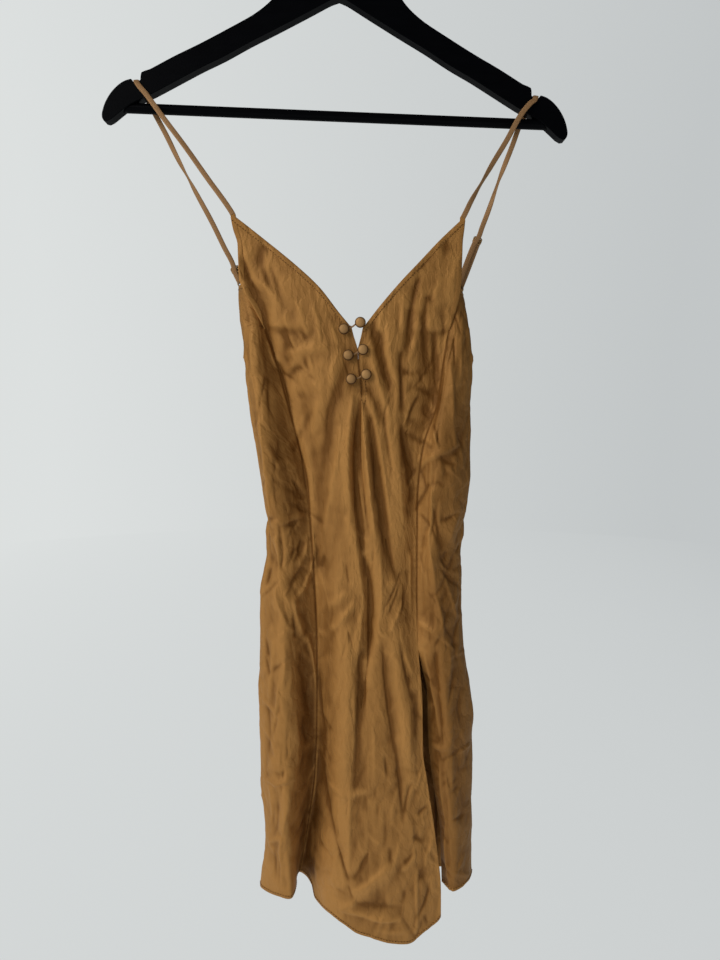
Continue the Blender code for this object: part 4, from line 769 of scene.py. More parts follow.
backSharp = [
    (-60, 560, -40, 568, -12, 562, 1.6, 3, 7), (70, 575, 52, 590, 20, 596, 1.5, 7, 3),
    (-52, 640, -38, 690, -42, 760, 1.6, 3, 5), (-8, 640, 2, 700, -6, 790, -1.5, 4, 3),
    (30, 630, 26, 690, 34, 760, 1.6, 5, 3), (56, 650, 50, 720, 58, 800, -1.4, 3, 4),
    (-40, 480, -28, 520, -20, 600, 1.5, 4, 3), (10, 470, 14, 520, 8, 590, -1.4, 3, 4),
    (50, 470, 40, 530, 44, 600, 1.5, 4, 3), (-58, 820, -40, 870, -44, 960, -1.5, 3, 4),
    (-10, 830, 4, 890, 0, 970, 1.4, 5, 3), (40, 830, 36, 900, 48, 980, 1.5, 3, 5),
    (-66, 905, -40, 912, -10, 900, 1.3, 3, 6), (20, 890, 50, 902, 84, 896, 1.4, 3, 6),
]
backSharp += strewn(230, 12, (-100, 120), (400, 1000), (0.4, 1.3), (2, 5), (15, 80), 0.5)
tuckSharp = strewn(260, 13, (0, 200), (380, 1005), (0.4, 1.3), (2, 5), (15, 70), 0.5)


# crumples: domes less domes, in two sizes stretched down the cloth, so that ridges and valleys are both sharp
def crumple(u, v, seed, size):
    bent, swayed = u + 5 * noise(u / 30, v / 30, seed + 5), v + 6 * noise(u / 26, v / 40, seed + 6)
    broad = facets(bent / 22, swayed / 52, seed) - facets(bent / 19 + 7, swayed / 40 + u / 50, seed + 1)
    small = facets(bent / 10, swayed / 23, seed + 2) - facets(bent / 9 + u / 60, swayed / 19, seed + 3)
    return size * (1.9 * broad + 0.42 * small)


# what both the front and the sides carry where they meet
def seenRelief(x, drop):
    return (creaseHeight(x, drop, softFolds, 2.0, 1.0, 1.0) + creaseHeight(x, drop, frontSharp)
            + creaseHeight(x, drop, skirtCreases, 1.05, 1.65, 0.85))


def frontRelief(s, drop, x, own):
    slack = 0.45 + 0.4 * ramp(np.abs(x - 20), 25, 80) + 0.25 * ramp(drop, 700, 900)
    return seenRelief(x, drop) + own * crumple(x, drop, 21, slack)


def sideRelief(seed):
    def relief(s, drop, x, own):
        front = 1 - ramp(s, 1.6, 2.3)
        around = s * 40
        calm = 0.2 + 0.8 * ramp(drop, 380, 425)           # nearly flat along the top edge
        return calm * (seenRelief(x, drop) * front + creaseHeight(around, drop, tuckSharp) * (1 - front)
                       + own * crumple(around, drop, seed, 0.95))
    return relief


def backRelief(s, drop, x, own):
    return (creaseHeight(x, drop, backFolds, 2.0, 1.0, 1.0) + creaseHeight(x, drop, backSharp)
            + crumple(x, drop, 24, 1.1))


def makePanels():
    left = sideStations(form["leftSide"], underCup(form["leftEdge"], form["armholeLeft"], 1.0))
    right = sideStations(form["rightSide"], slitStation())
    front = [station(form["leftEdge"], "x", "y"), frontSwell(form["leftEdge"], "left_y"),
             station(form["front"], "centre_x", "centre_y"), frontSwell(form["rightEdge"], "right_y"),
             station(form["rightEdge"], "x", "y")]
    back = [backStation(share, depth) for share, depth in ((0, 0), (0.3, 2), (0.7, 2), (1, 0))]
    return {
        "front": Panel(front, left[1], right[1], joinedLeft, joinedRight, frontRelief, -1, -1, -1),
        "left": Panel(left, front[1], back[1], joinedLeft, always, sideRelief(22), -1, 1, 1),
        "right": Panel(right, front[3], back[2], joinedRight, always, sideRelief(23), -1, 1, -1),
        "back": Panel(back, left[4], right[4], always, always, backRelief, 1, 1, 1),
    }


panels = makePanels()


# an edge's drop from each point's x, or from its station
def byX(rows, extra=0.0):
    return lambda s, x: smooth(x, rows["x"], rows["drop"]) + extra


def byStation(column, extra=0.0):
    ends = form["sideEnds"]
    return lambda s, x: smooth(s, ends["station"], ends[column]) + extra


# drop of each column's end, found by stepping half way to the edge's line 40 times
def settle(panel, fractions, start, end, edge):
    drop = np.full(np.shape(fractions), 600.0)
    for _ in range(40):
        s = start(drop) + fractions * (end(drop) - start(drop))
        drop = 0.5 * drop + 0.5 * edge(s, panel.plan(s, drop)[0])
    return drop


# a panel's grid; flaps is 1 on an edge that is turned in along its seam by a few millimetres
def clothGrid(panel, fractions, rows, start, end, upper, lower, flaps=(0, 0)):
    fractions = np.asarray(fractions, float)[None, :]
    top = settle(panel, fractions, start, end, upper)
    bottom = settle(panel, fractions, start, end, lower)
    drop = top + (bottom - top) * np.linspace(0, 1, rows + 1)[:, None]
    s = start(drop) + fractions * (end(drop) - start(drop))
    grid = panel.cloth(s, drop)
    # painted shade along the sewn seams: 1 on a seam line, fading within a few millimetres
    seam = sum(share(drop) * np.exp(-(away / 1.2) ** 2)
               for share, away in zip((panel.joinedBefore, panel.joinedAfter), panel.edges(s, drop)))
    for edge, flap in zip((0, -1), flaps):
        if flap:
            away = unit(grid[:, edge * 2 + (2 if edge == 0 else -1)] - grid[:, edge]) * 0.42
            turned = [grid[:, edge] + away + np.array([0, -panel.seams[edge] * deep, 0])
                      for deep in (1.0, 2.4, 4.0)]
            turned = np.stack(turned[::-1] if edge == 0 else turned, 1)
            parts = (turned, grid) if edge == 0 else (grid, turned)
            grid = np.concatenate(parts, 1)
            pad = (3, 0) if edge == 0 else (0, 3)
            seam, drop = (np.pad(v, ((0, 0), pad), mode="edge") for v in (seam, drop))
    return grid, seam, drop


def level(value):
    return lambda drop: np.full_like(drop, value)


# columns bunched towards both edges
def spread(count):
    f = np.linspace(0, 1, count + 1)
    return np.concatenate([[0, 0.25 / count, 0.55 / count], f[1:-1], [1 - 0.55 / count, 1 - 0.25 / count, 1]])


# how far a grid's points stand out of the mean of those 2, 6 and 14 steps away, negative in a valley,
# then averaged with their neighbours; past an edge the grid goes on as its own point reflection. It becomes
# painted shade in the valleys and painted highlight on the ridges.
def paintedCreaseShade(grid):
    rows, cols = grid.shape[:2]
    across, down = np.gradient(grid, axis=1), np.gradient(grid, axis=0)
    out = unit(np.cross(across, down))
    out = out * np.sign((out * np.array([0.0, -1.0, 0.0])).sum(-1).mean())
    total = np.zeros((rows, cols))
    for reach, share in ((2, 1.7), (6, 0.5), (14, 0.2)):
        padded = np.pad(grid, ((reach, reach), (reach, reach), (0, 0)), mode="reflect", reflect_type="odd")
        mean = sum(padded[reach + a:reach + a + rows, reach + b:reach + b + cols]
                   for a in (-reach, 0, reach) for b in (-reach, 0, reach)) / 9
        total += np.clip(((grid - mean) * out).sum(-1) * share, -0.8, 0.8)
    padded = np.pad(total, 1, mode="edge")
    padded = (padded[:-2] + 2 * padded[1:-1] + padded[2:]) / 4
    total = (padded[:, :-2] + 2 * padded[:, 1:-1] + padded[:, 2:]) / 4
    return np.clip(total * 1.15, -1.2, 1.2)


# strengths of the painted shade in valleys, the painted highlight on ridges and the painted shade along
# seams; wall is the cloth's thickness
clothLook = {"wall": 0.7, "valley": 1.25, "ridge": 0.75, "seam": 2.6}


# a cloth panel of one or more grids; depth scales its painted crease shade and is negative where its inside
# faces us
def clothPiece(name, grids, depth=1.0, paintedShadow=None):
    points, faces, uv, toneAndShade, first = [], [], [], [], 0
    for grid, seam, drop in grids:
        rows, cols = grid.shape[:2]
        # painted shade in the valleys and painted highlight on the ridges of the cloth
        bend = paintedCreaseShade(grid) * depth
        bend = bend * np.where(bend < 0, clothLook["valley"], clothLook["ridge"])
        turned = 0.0
        if paintedShadow:                                           # painted shade beyond a line down the front, where the panel turns from the light
            turned = (smooth(drop, paintedShadow["drop"], paintedShadow["share"]) * ramp(-grid[..., 1], 4, 16)
                      * ramp(grid[..., 0] - smooth(drop, paintedShadow["drop"], paintedShadow["x"]), -4, 6))
        toneAndShade.append((bend - clothLook["seam"] * seam - turned).ravel())
        across = np.cumsum(np.linalg.norm(np.diff(grid, axis=1, prepend=grid[:, :1]), axis=-1), axis=1)
        points.append(grid.reshape(-1, 3))
        uv.append(np.stack([across + grid[:, :1, 0], drop], -1).reshape(-1, 2))
        faces += gridFaces(rows, cols, first=first).tolist()
        first += rows * cols
    made = meshObject(name, np.concatenate(points), faces, "satin", np.concatenate(uv))
    paintedShadeLayer(made, np.concatenate(toneAndShade))
    remake(made, weld)
    thicken(made, clothLook["wall"])
    return made


frontCut = {"columns": 56, "rows": 380, "bindingWidth": 7.0, "bindingWall": 1.5, "hem": 4.0, "hemWall": 1.3}


# width of one span of a panel's section, from which millimetres become stations
def chordOf(panel, drop, a):
    ring = panel.ring(drop)
    return np.linalg.norm(ring[a + 2] - ring[a + 1], axis=-1)


def slitShare(drop):              # half the slit's width in stations
    half = smooth(drop, form["slitHalf"]["drop"], form["slitHalf"]["half"])
    return half / chordOf(panels["front"], drop, 1)


innerLeft, innerRight = lambda drop: 2 - slitShare(drop), lambda drop: 2 + slitShare(drop)
under = frontCut["bindingWidth"] * 0.55
halves = [clothGrid(panels["front"], spread(frontCut["columns"]), frontCut["rows"], start, end,
                    byX(form[neck], under), byX(form["frontHem"], -frontCut["hem"] * 0.4), flaps)
          for start, end, neck, flaps in ((level(0.0), innerLeft, "neckLeft", (1, 0)),
                                          (innerRight, level(4.0), "neckRight", (0, 1)))]
for (grid, seam, drop), edge in zip(halves, (-1, 0)):    # the closed slit is painted as a dark line of shade
    away = np.linalg.norm(grid - grid[:, edge][:, None], axis=-1)
    seam += 1.1 * ramp(drop, 436, 446) * (1 - ramp(drop, 482, 485)) * np.exp(-(away / 0.9) ** 2)
frontCloth = clothPiece("front_cloth", halves)
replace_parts(frontCloth, "front_panel")
print("front cloth made")


# band on a panel from two lines of stations and drops, wound as a flat tube
def bandPiece(name, panel, outer, inner, wall, node):
    shade = 0.25 - 1.3 * np.exp(-((aroundBand - np.pi) / 0.5) ** 2)       # painted highlight over the band, painted shade along its inner line where it meets the cloth
    rings = bandTube(panel.cloth(*outer), panel.cloth(*inner), wall)
    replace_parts(tubeObject(name, rings, "satin", shade), node)


stitch = {"length": 2.2, "gap": 0.9, "radius": 0.3}


# a row of stitches along a line: short six-sided threads, thinner and sunk at both ends
def stitchRow(name, line, out):
    run = np.concatenate([[0], np.cumsum(np.linalg.norm(np.diff(line, axis=0), axis=1))])
    starts = np.arange(0.3, run[-1] - stitch["length"], stitch["length"] + stitch["gap"])
    at = starts[:, None] + stitch["length"] * np.array([0, 0.15, 0.5, 0.85, 1])
    point, up = (np.stack([np.interp(at, run, v[:, k]) for k in range(3)], -1) for v in (line, out))
    way = unit(np.gradient(point, axis=1))
    aside = unit(np.cross(way, up))
    thin = stitch["radius"] * np.array([0.35, 1, 1, 1, 0.35])[None, :, None]
    point = point + up * np.array([-0.25, 0.05, 0.12, 0.05, -0.25])[None, :, None]
    a = np.linspace(0, 2 * np.pi, 6, endpoint=False)
    rings = (point[:, :, None] + thin[..., None] * (np.cos(a)[:, None] * aside[:, :, None]
                                                    + np.sin(a)[:, None] * up[:, :, None]))
    faces = np.concatenate([gridFaces(5, 6, closed=True, first=30 * k) for k in range(len(starts))])
    uv = np.stack([rings[..., 0], rings[..., 2]], -1).reshape(-1, 2)
    return meshObject(name, rings.reshape(-1, 3), faces.tolist(), "thread", uv)


# stitches along a line of stations and drops, lifted off the cloth along its normal
def stitchOn(name, panel, run, lift):
    stations, drop = run
    return stitchRow(name, panel.cloth(stations, drop) + panel.normal(stations, drop) * lift,
                     panel.normal(stations, drop))


# stations and drops of evenly spaced points along a panel's edge
def edgeRun(panel, count, start, end, edge):
    fractions = np.linspace(0, 1, count)
    drop = settle(panel, fractions, start, end, edge)
    return start(drop) + fractions * (end(drop) - start(drop)), drop


# a bound edge: a band from an edge's line to the same line moved by width, and a row of stitches on it
def boundEdge(names, panel, count, span, rows, width, stitchAt, wall, node):
    outer, inner, sewn = (edgeRun(panel, count, *span, byX(rows, extra)) for extra in (0.0, width, stitchAt))
    bandPiece(names[0], panel, outer, inner, wall, node)
    stitchOn(names[1], panel, sewn, wall / 2)


for side, span in (("left", (level(0.0), innerLeft)), ("right", (innerRight, level(4.0)))):
    boundEdge((f"neck_edge_{side}", f"neck_stitches_{side}"), panels["front"], 130, span,
              form["neck" + side.capitalize()], frontCut["bindingWidth"], frontCut["bindingWidth"] - 1.2,
              frontCut["bindingWall"], f"neck_binding_{side}")
for side, edge, inward, top in (("left", 0, 1, 311.5), ("right", 4, -1, 314.5)):
    armhole = form["armhole" + side.capitalize()]
    drop = np.linspace(top, armhole - 2, 70)
    width = 5.0 * (1 - ramp(drop, armhole - 22, armhole)) / chordOf(panels["front"], drop, min(edge, 3))
    bandPiece(f"cup_edge_{side}", panels["front"], (np.full_like(drop, edge), drop),
              (edge + inward * np.maximum(width, 0.02), drop), 1.4, f"cup_armhole_binding_{side}")

# the stitched box that ends the slit: x, drop
placket = np.array([
    (16.2, 468), (16.6, 478), (16.8, 487), (19.2, 492.5), (21.4, 487), (21.2, 478), (20.8, 468)])
tried = np.linspace(1.5, 2.9, 120)
onBox = np.array([np.interp(x, panels["front"].plan(tried, drop)[0], tried) for x, drop in placket])
stitchOn("placket_stitches", panels["front"], (onBox, placket[:, 1]), 0.42)
boundEdge(("hem_roll_front", "hem_stitches_front"), panels["front"], 200, (level(0.0), level(4.0)),
          form["frontHem"], -frontCut["hem"], 0.8 - frontCut["hem"], frontCut["hemWall"], "hem_front")
print("front edges made")


sideCut = {
    "columns": 112, "rows": 340, "seen": 0.6, "binding": 5.5, "hem": 4.0, "wall": 1.4, "hemWall": 1.3,
    # painted shade over part of each side panel: at each drop, the x where it starts and its share
    "paintedShadow": {
        "left": columns("drop x share", [
            (415, -89, 0), (445, -84, 0.6), (500, -77, 0.8), (560, -74, 0.8), (600, -73, 0.6), (625, -72, 0),
            (1010, -60, 0)]),
        "right": columns("drop x share", [
            (375, 86, 0.5), (470, 86, 0.5), (500, 88, 1.0), (660, 86, 1.0), (720, 84, 1.1), (1010, 84, 1.1)]),
    },
}
sideCloths = {}
for side in ("left", "right"):
    panel, armhole = panels[side], form["armhole" + side.capitalize()]
    top, hem = f"{side}_top", f"{side}_hem"
    f, seen = spread(sideCut["columns"]), sideCut["seen"]
    f = np.where(f < seen, 0.4 * f / seen, 0.4 + 0.6 * (f - seen) / (1 - seen))
    grid = clothGrid(panel, f, sideCut["rows"], level(0.0), level(5.0),
                     byStation(top, 3.0), byStation(hem, -1.6), (1, 1))
    sideCloths[side] = clothPiece(f"side_cloth_{side}", [grid], depth=0.8, paintedShadow=sideCut["paintedShadow"][side])
    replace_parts(sideCloths[side], f"side_panel_{side}")
    corner = form["sideEnds"][top][0]
    up = np.linspace(armhole - 6, corner + 6, 30)
    overStations = np.linspace(0.02, 5, 90)
    over = smooth(overStations, form["sideEnds"]["station"], form["sideEnds"][top])
    band = 5.0 * (1 - ramp(up, armhole - 22, armhole)) / chordOf(panel, up, 0)
    outer = (np.concatenate([np.zeros(30), overStations]), np.concatenate([up, over]))
    inner = (np.concatenate([np.maximum(band, 0.01), np.maximum(overStations, band[-1])]),
             np.concatenate([up, over + sideCut["binding"]]))
    bandPiece(f"underarm_edge_{side}", panel, outer, inner, sideCut["wall"], f"underarm_binding_{side}")
    stations = np.linspace(0, 5, 170)
    low = smooth(stations, form["sideEnds"]["station"], form["sideEnds"][hem])
    bandPiece(f"hem_roll_{side}", panel, (stations, low), (stations, low - sideCut["hem"]),
              sideCut["hemWall"], f"hem_side_{side}")
    stitchOn(f"hem_stitches_{side}", panel, (stations, low + 0.8 - sideCut["hem"]), sideCut["hemWall"] / 2)
    stitchOn(f"underarm_stitches_{side}", panel, (overStations, over + sideCut["binding"] - 1.0), 0.7)
print("side cloths made")

backCut = {"columns": 72, "rows": 290, "binding": 7.0, "bindingWall": 1.5, "hem": 4.0, "hemWall": 1.3}
backGrid = clothGrid(panels["back"], spread(backCut["columns"]), backCut["rows"], level(0.0), level(3.0),
                     byX(form["backTop"], 4.0), byX(form["backHem"], -1.6), (1, 1))
backCloth = clothPiece("back_cloth", [backGrid], depth=-0.55)
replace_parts(backCloth, "back_panel")
boundEdge(("back_edge", "back_stitches"), panels["back"], 150, (level(0.0), level(3.0)), form["backTop"],
          backCut["binding"], backCut["binding"] - 1.2, backCut["bindingWall"], "back_binding")
boundEdge(("hem_roll_back", "hem_stitches_back"), panels["back"], 150, (level(0.0), level(3.0)),
          form["backHem"], -backCut["hem"], 0.8 - backCut["hem"], backCut["hemWall"], "hem_back")
print("back cloth made")


straps = {
    "width": 5.0, "wall": 1.15,
    "left": columns("x y drop turn", [
        (-105.4, -28.2, 312.4, 0), (-107.2, -28.2, 309.2, 0), (-130, -23, 277.5, 0), (-151, -18.5, 248, 8),
        (-173, -13.5, 219, 0), (-190, -9.6, 196, 0), (-197.5, -7.8, 187, 0), (-199.8, -5.2, 182.6, 0),
        (-200.1, 0, 181.6, 0), (-199.8, 5.2, 182.6, 0), (-197, 7.9, 187.6, 0), (-186, 9.4, 209, 0),
        (-176, 10, 228, 0), (-165, 10.3, 251, 25), (-156.5, 10.5, 267, 65), (-148, 10.7, 283, 25),
        (-133, 11, 311, 0), (-121.5, 11, 335, 0)]),
    "right": columns("x y drop turn", [
        (113.4, -28.2, 315.8, 0), (115.2, -28.2, 312.4, 0), (121, -26.5, 300.5, 20), (131, -23, 283, 65),
        (142, -19.5, 264, 20), (156, -15, 241, 0), (170, -11.5, 216, 0), (180, -9, 204, 0),
        (183.6, -7.8, 201.2, 0), (185.2, -5.2, 197, 0), (185.4, 0, 196, 0), (185.2, 5.2, 197, 0),
        (182.6, 7.9, 202, 0), (174, 9.2, 217, 0), (166.5, 9.8, 238, 0), (158.8, 10.3, 258, 25),
        (153.2, 10.6, 273, 65), (145, 10.8, 298, 20), (138, 10.9, 317, 0)]),
    "leftEnd": {"slider": (-110.8, 357.0), "ring": (-104.4, 370.2)},
    "rightEnd": {"slider": (134.0, 328.4), "ring": (116.2, 376.0)},
    "depth": 12.0, "layer": 1.1, "splay": 1.7, "ringRadius": 4.1, "ringWire": 0.75, "notchSlope": 5.0,
    "tilt": 2.2,
    "ringTurn": columns("along y", [
        (-1.2, -1.7), (1.4, -1.6), (2.6, -1.0), (3.0, 0), (2.6, 1.0), (1.4, 1.6), (-1.2, 1.7)]),
}


# a strap's middle line: over the hanger, down to the slider, round the ring and back up through the
# slider; columns x, y, z, turn and how far the lower part's own direction counts
def strapPath(side):
    rows, end = straps[side], straps[side + "End"]
    slider, ring = np.array(end["slider"]), np.array(end["ring"])
    way = (ring - slider) / np.linalg.norm(ring - slider)
    wire, layer, turn = ring - straps["ringRadius"] * way, straps["layer"], straps["ringTurn"]
    aside = np.array([way[1], -way[0]]) * straps["splay"]
    low = [(*(slider + a * way - aside * b), -layer) for a, b in ((-4, 0), (0, 0.6), (4, 1))]
    low += [(*(wire + a * way + aside * y / 1.7), y) for a, y in zip(turn["along"], turn["y"])]
    low += [(*(slider + a * way + aside), layer) for a in (4, 0, -2)]
    low = np.array(low)
    knots = np.concatenate([
        np.stack([rows["x"], rows["y"], -rows["drop"], rows["turn"], 0 * rows["x"]], -1),
        np.stack([low[:, 0], low[:, 2] + straps["depth"], -low[:, 1], 0 * low[:, 0], 1 + 0 * low[:, 0]], -1)])
    length = np.concatenate([[0], np.cumsum(np.linalg.norm(np.diff(knots[:, :3], axis=0), axis=1))])
    fine = np.concatenate([np.linspace(a, b, max(3, int((b - a) / 2.2)), endpoint=False)
                           for a, b in zip(length[:-1], length[1:])] + [[length[-1]]])
    return np.stack([smooth(fine, length, knots[:, k]) for k in range(5)], -1), (way[1], 0, way[0])


for side, sign in (("left", 1), ("right", -1)):
    path, lowAcross = strapPath(side)
    angle = math.radians(straps["notchSlope"] - sign * straps["tilt"])
    arm = np.array([math.cos(angle), 0, sign * math.sin(angle)])
    along = unit(np.gradient(path[:, :3], axis=0))
    across = arm * (1 - path[:, 4:5]) + np.array(lowAcross) * path[:, 4:5]
    across = unit(across - (across * along).sum(1)[:, None] * along)
    facing = np.cross(along, across)
    turn = np.radians(path[:, 3:4])
    half = (np.cos(turn) * across + np.sin(turn) * facing) * straps["width"] / 2
    rings = bandTube(path[:, :3] + half, path[:, :3] - half, straps["wall"])
    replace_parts(tubeObject(f"ribbon_{side}", rings, "strap"), f"strap_{side}")
print("straps made")


for side in ("left", "right"):
    end = straps[side + "End"]
    slider, ring = np.array(end["slider"]), np.array(end["ring"])
    way = (ring - slider) / np.linalg.norm(ring - slider)
    across, down = np.array([way[1], 0, way[0]]), np.array([way[0], 0, -way[1]])
    middle = np.array([slider[0], straps["depth"], -slider[1]])
    t = np.linspace(0, 2 * np.pi, 61)
    wide, tall = power(np.cos(t), 0.35) * 3.9, power(np.sin(t), 0.35) * 2.9
    loop = middle + wide[:, None] * across + tall[:, None] * down
    bar = middle + np.linspace(-3.6, 3.6, 13)[:, None] * across
    made = tubeObject(f"slider_frame_{side}", wireRings(loop, 0.75, 10), "gilt")
    tubeObject(f"slider_bar_{side}", wireRings(bar, 0.62, 10), "gilt")
    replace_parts(made, f"slider_{side}")
    centre = np.array([ring[0], straps["depth"], -ring[1]])
    loop = centre + straps["ringRadius"] * np.stack([np.cos(t), 0 * t, np.sin(t)], -1)
    made = tubeObject(f"ring_wire_{side}", wireRings(loop, straps["ringWire"], 12), "gilt")
    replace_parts(made, f"ring_{side}")


buttons = {
    "radius": 5.2, "half": 3.4, "rimShade": 2.4, "shade": {"left": 0.3, "right": 0.0},
    "pairs": columns("left_x left_drop right_x right_drop", [
        (0.4, 420.5, 15.9, 414.3), (4.4, 445.0, 18.4, 439.8), (7.2, 467.6, 21.5, 463.3)]),
}


# a dome turned about its axis: radius r = R sin(a)^0.8, height h = H cos(a)^0.9, with a gathered rim
for n in range(3):
    centres = []
    for side in ("left", "right"):
        node = f"button_{side}_{n + 1}"
        x, drop = buttons["pairs"][f"{side}_x"][n], buttons["pairs"][f"{side}_drop"][n]
        centre = np.array([x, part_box(node)[0].y / mm + buttons["half"], -drop])
        centres.append(centre)
        a = np.linspace(0.02, np.pi - 0.02, 30)[:, None]
        t = np.linspace(0, 2 * np.pi, 40, endpoint=False)[None, :]
        rim = 1 - 0.05 * np.exp(-((a - 2.0) / 0.25) ** 2) * (1 + 0.6 * np.sin(11 * t))
        radius = buttons["radius"] * np.sin(a) ** 0.8 * rim
        high = -buttons["half"] * power(np.cos(a), 0.9)
        high = np.where(high > 0, high * 0.8, high)
        rings = np.stack([centre[0] + radius * np.cos(t), centre[1] + high + 0 * t,
                          centre[2] + radius * np.sin(t)], -1)
        # painted highlight at the middle and upper left, painted shade at the lower right and round the rim;
        # the left buttons are painted darker, as in shade
        shade = (0.4 * np.cos(a) ** 2 - buttons["rimShade"] * ramp(a, 0.75, 1.35)
                 + 0.7 * np.sin(a) * (0.75 * np.sin(t) - 0.65 * np.cos(t)) - buttons["shade"][side])
        made = tubeObject(f"covered_button_{side}_{n + 1}", rings, "button", shade)
        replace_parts(made, node)
    left, right = centres
    f = np.linspace(0, 1, 24)[:, None]
    start, end = left + np.array([3.2, 0.6, 0.4]), right + np.array([-3.2, 0.6, -0.4])
    path = start * (1 - f) + end * f + np.sin(np.pi * f) * np.array([0, 0.4, -1.0])
    made = tubeObject(f"thread_loop_{n + 1}", wireRings(path, 0.75, 10), "strap")
    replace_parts(made, f"button_loop_{n + 1}")
print("buttons made")


hanger = {
    "half": [(0, 70), (14, 71), (28, 76), (42, 86), (52, 97.5), (62, 111), (70, 118.8), (82, 127.6),
             (105, 140.5), (131, 154.5), (156, 167), (179, 179.5), (184, 181.2), (187.3, 182.8),
             (188, 185.5), (188.3, 189.5), (191.5, 192.3), (195, 191.6), (197.2, 189), (203, 190.8),
             (209, 194.5), (216.5, 202), (222.5, 212), (225.4, 221.5), (225.2, 225.6), (223.6, 228.3),
             (220.6, 228.9), (216, 226.5), (198, 212.5), (175, 201), (131, 177), (108, 165.5), (84, 152),
             (59, 139), (30, 123.5), (8, 111.5), (0, 108.5)],
    "thickness": 12.0, "rounding": 2.8, "barDrop": 214.0, "barRadius": 4.75, "barHalf": 207.0,
    "tilt": 2.2, "wire": 1.75, "hookRadius": 20.0, "top": 70.0,
}


def tilted(points):               # turned about Y by the hanger's tilt
    a = math.radians(hanger["tilt"])
    x, y, z = points[..., 0], points[..., 1], points[..., 2]
    return np.stack([x * math.cos(a) + z * math.sin(a), y, z * math.cos(a) - x * math.sin(a)], -1)


# outline: Hermite curve through its points with tangents (next - last) / 2, and none at a sharp corner
def hangerOutline():
    half = hanger["half"]
    points = np.array(half + [(-x, drop) for x, drop in reversed(half[1:-1])], float)
    before, after = np.roll(points, 1, 0), np.roll(points, -1, 0)
    a, b = unit(points - before), unit(after - points)
    bend = np.degrees(np.arccos(np.clip((a * b).sum(1), -1, 1)))
    reach = np.minimum(np.linalg.norm(points - before, axis=1), np.linalg.norm(after - points, axis=1))
    tangent = unit(a + b) * np.where(bend > 34, 0.0, reach)[:, None]
    out = []
    for k in range(len(points)):
        n = (k + 1) % len(points)
        f = np.linspace(0, 1, 5)[:-1, None]
        g = 1 - f
        out.append(points[k] * g * g * (1 + 2 * f) + points[n] * f * f * (1 + 2 * g)
                   + f * g * (tangent[k] * g - tangent[n] * f))
    return np.concatenate(out)


outline = hangerOutline()
count = len(outline)
sideways = np.stack([outline[:, 0], np.zeros(count), -outline[:, 1]], -1)
depth = np.array([0, hanger["thickness"] / 2, 0])
points = tilted(np.concatenate([sideways - depth, sideways + depth]))
k = np.arange(count)
walls = np.stack([k, k + count, (k + 1) % count + count, (k + 1) % count], -1).tolist()
faces = [list(range(count)), list(range(count, 2 * count))[::-1]] + walls
arms = meshObject("arms_wood", points, faces, "lacquer")
remake(arms, turnOut)
rounding = arms.modifiers.new("rounding", "BEVEL")
rounding.width, rounding.segments = hanger["rounding"] * mm, 5
rounding.limit_method, rounding.angle_limit = "ANGLE", math.radians(50)
rounding.harden_normals = True
arms.data.shade_smooth()
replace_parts(arms, "hanger_arms")

barX = np.linspace(-hanger["barHalf"], hanger["barHalf"], 60)
barPath = tilted(np.stack([barX, 0 * barX, 0 * barX - hanger["barDrop"]], -1))
bar = tubeObject("bar_rod", wireRings(barPath, hanger["barRadius"], 28), "lacquer")
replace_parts(bar, "hanger_bar")

ring = hanger["hookRadius"] + hanger["wire"]
sweep = np.radians(np.linspace(-35, 235, 70))
curl = np.stack([-ring * np.cos(sweep), 0 * sweep, ring * np.sin(sweep) - hanger["hookRadius"]], -1)
f = np.linspace(0.1, 1, 14)
stemEnd = curl[-1]
stem = np.stack([stemEnd[0] * (1 - f) ** 2, 0 * f, stemEnd[2] + (14 - hanger["top"] - stemEnd[2]) * f], -1)
foot = np.array([[0, 0, 6 - hanger["top"]], [0, 0, -hanger["top"] - 2.0]])
hookPath = tilted(np.concatenate([curl, stem, foot]))
hook = tubeObject("hook_wire", wireRings(hookPath, hanger["wire"], 16), "steel")
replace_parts(hook, "hanger_hook")
print("hanger made")


stage = {
    "floorDrop": 1750.0, "floorRadius": 6000.0, "backdropRadius": 7000.0,
    "floor": (0.80, 0.81, 0.82, 1), "left": (0.72, 0.745, 0.74, 1), "right": (0.54, 0.565, 0.57, 1),
    "sky": {"toward": (-0.72, -0.48, 0.50), "dark": 0.05, "bright": 0.2, "colour": (0.96, 0.985, 1.0)},
    "key": {"place": (-1.9, -1.8, 0.55), "aim": (-0.1, 0.0, -0.9), "size": 2.2, "power": 9.5,
            "spread": 75, "colour": (1.0, 0.98, 0.95)},
    "fill": {"place": (-0.3, -2.2, -1.2), "aim": (0.0, 0.0, -0.65), "size": 1.6, "power": 1.5, "spread": 180,
             "colour": (0.95, 0.97, 1.0)},
    "camera": {"place": (0.0156, -0.740, -0.4795), "down": 7, "lens": 27.04},
}


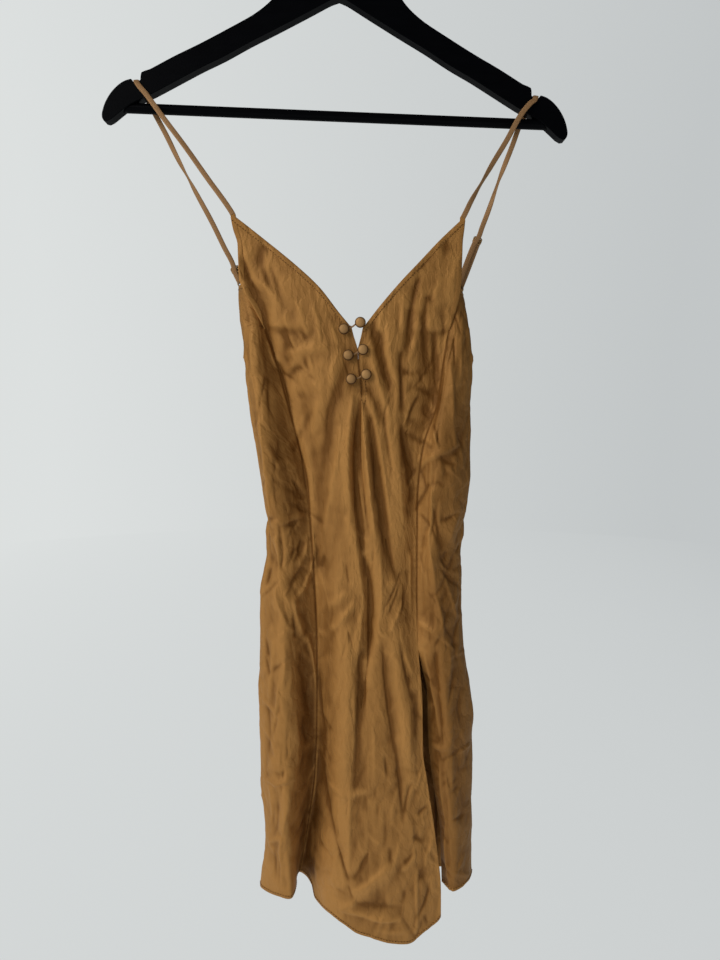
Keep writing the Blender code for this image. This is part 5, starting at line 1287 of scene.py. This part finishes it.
# the backdrop glows with a painted falloff of light, from its lighter left tone to its darker right one; the
# floor is lit paint near the hanger and glows like the backdrop further out, where share = 3f^2 - 2f^3 of the
# radius
def stageMaterial(name, floorColour=None):
    m = Maker(name)
    m.fixed(Roughness=1.0, Specular_IOR_Level=0.0, Emission_Strength=1.0, Base_Color=(0, 0, 0, 1))
    where = m.node("ShaderNodeTexCoord", {}, {}, out=3)
    x = m.node("ShaderNodeSeparateXYZ", {}, {0: where})
    across = m.node("ShaderNodeMapRange", {}, {"Value": x, "From Min": -3.0, "From Max": 3.0})
    glow = m.mix(across, stage["left"], stage["right"])
    if floorColour:
        flat = m.node("ShaderNodeVectorMath", {"operation": "MULTIPLY"}, {0: where, 1: (1, 1, 0)})
        radius = m.node("ShaderNodeVectorMath", {"operation": "LENGTH"}, {0: flat}, out=1)
        far = m.node("ShaderNodeMapRange", {"interpolation_type": "SMOOTHSTEP"},
                     {"Value": radius, "From Min": 0.0, "From Max": 0.6, "To Min": 0.6})
        m.link(m.mix(far, floorColour, (0, 0, 0, 1)), "Base Color")
        glow = m.mix(far, (0, 0, 0, 1), glow)
    m.link(glow, "Emission Color")
    m.material.cycles.emission_sampling = "NONE"
    return m.material


def stageObject(name, points, faces, material):
    mesh = bpy.data.meshes.new(name)
    mesh.from_pydata((points * mm).tolist(), [], faces)
    mesh.shade_smooth()
    mesh.materials.append(material)
    made = bpy.data.objects.new(name, mesh)
    bpy.context.scene.collection.objects.link(made)
    return made


t = np.linspace(0, 2 * np.pi, 64, endpoint=False)
r = np.array([1.0, 400, 900, 1600, 2400, 4000, stage["floorRadius"]])[:, None]
disc = np.stack([r * np.cos(t), r * np.sin(t), 0 * r * t - stage["floorDrop"]], -1)
stageObject("floor", disc.reshape(-1, 3), gridFaces(len(r), 64, closed=True).tolist(),
            stageMaterial("floor_paint", stage["floor"]))
a = np.linspace(0.01, np.pi - 0.01, 40)[:, None]
ball = np.stack([np.sin(a) * np.cos(t), np.sin(a) * np.sin(t), np.cos(a) + 0 * t], -1)
ball = ball.reshape(-1, 3) * stage["backdropRadius"] - np.array([0, 0, 600.0])
backdrop = stageObject("backdrop", ball, gridFaces(40, 64, closed=True).tolist(),
                       stageMaterial("backdrop_paint"))
backdrop.visible_diffuse = backdrop.visible_glossy = backdrop.visible_shadow = False
backdrop.visible_transmission = False

world = bpy.data.worlds.new("room")
bpy.context.scene.world = world
world.use_nodes = True
tree, sky = world.node_tree, stage["sky"]
background = tree.nodes["Background"]
background.inputs[0].default_value = (*sky["colour"], 1)
# sky strength: dark + (bright - dark) * smoothstep of direction . toward
where = tree.nodes.new("ShaderNodeTexCoord")
facing = tree.nodes.new("ShaderNodeVectorMath")
facing.operation = "DOT_PRODUCT"
facing.inputs[1].default_value = Vector(sky["toward"]).normalized()
strength = tree.nodes.new("ShaderNodeMapRange")
strength.interpolation_type = "SMOOTHSTEP"
for key, value in (("From Min", -0.5), ("From Max", 1.0), ("To Min", sky["dark"]), ("To Max", sky["bright"])):
    strength.inputs[key].default_value = value
tree.links.new(where.outputs["Generated"], facing.inputs[0])
tree.links.new(facing.outputs["Value"], strength.inputs["Value"])
tree.links.new(strength.outputs["Result"], background.inputs[1])

for name in ("key", "fill"):
    light = bpy.data.lights.new(name, "AREA")
    light.shape, light.size, light.energy = "DISK", stage[name]["size"], stage[name]["power"]
    light.color = stage[name]["colour"]
    lamp = bpy.data.objects.new(name, light)
    lamp.location = stage[name]["place"]
    light.spread = math.radians(stage[name]["spread"])
    lamp.rotation_euler = (Vector(stage[name]["aim"]) - lamp.location).to_track_quat("-Z", "Y").to_euler()
    lamp.visible_camera = False
    bpy.context.scene.collection.objects.link(lamp)

camera = bpy.data.objects.new("camera", bpy.data.cameras.new("camera"))
camera.data.lens, camera.data.sensor_width = stage["camera"]["lens"], 36
camera.location = stage["camera"]["place"]
camera.rotation_euler = (math.radians(90 - stage["camera"]["down"]), 0, 0)
bpy.context.scene.collection.objects.link(camera)
bpy.context.scene.camera = camera
bpy.context.scene.view_settings.view_transform = "Standard"
print("scene lit")
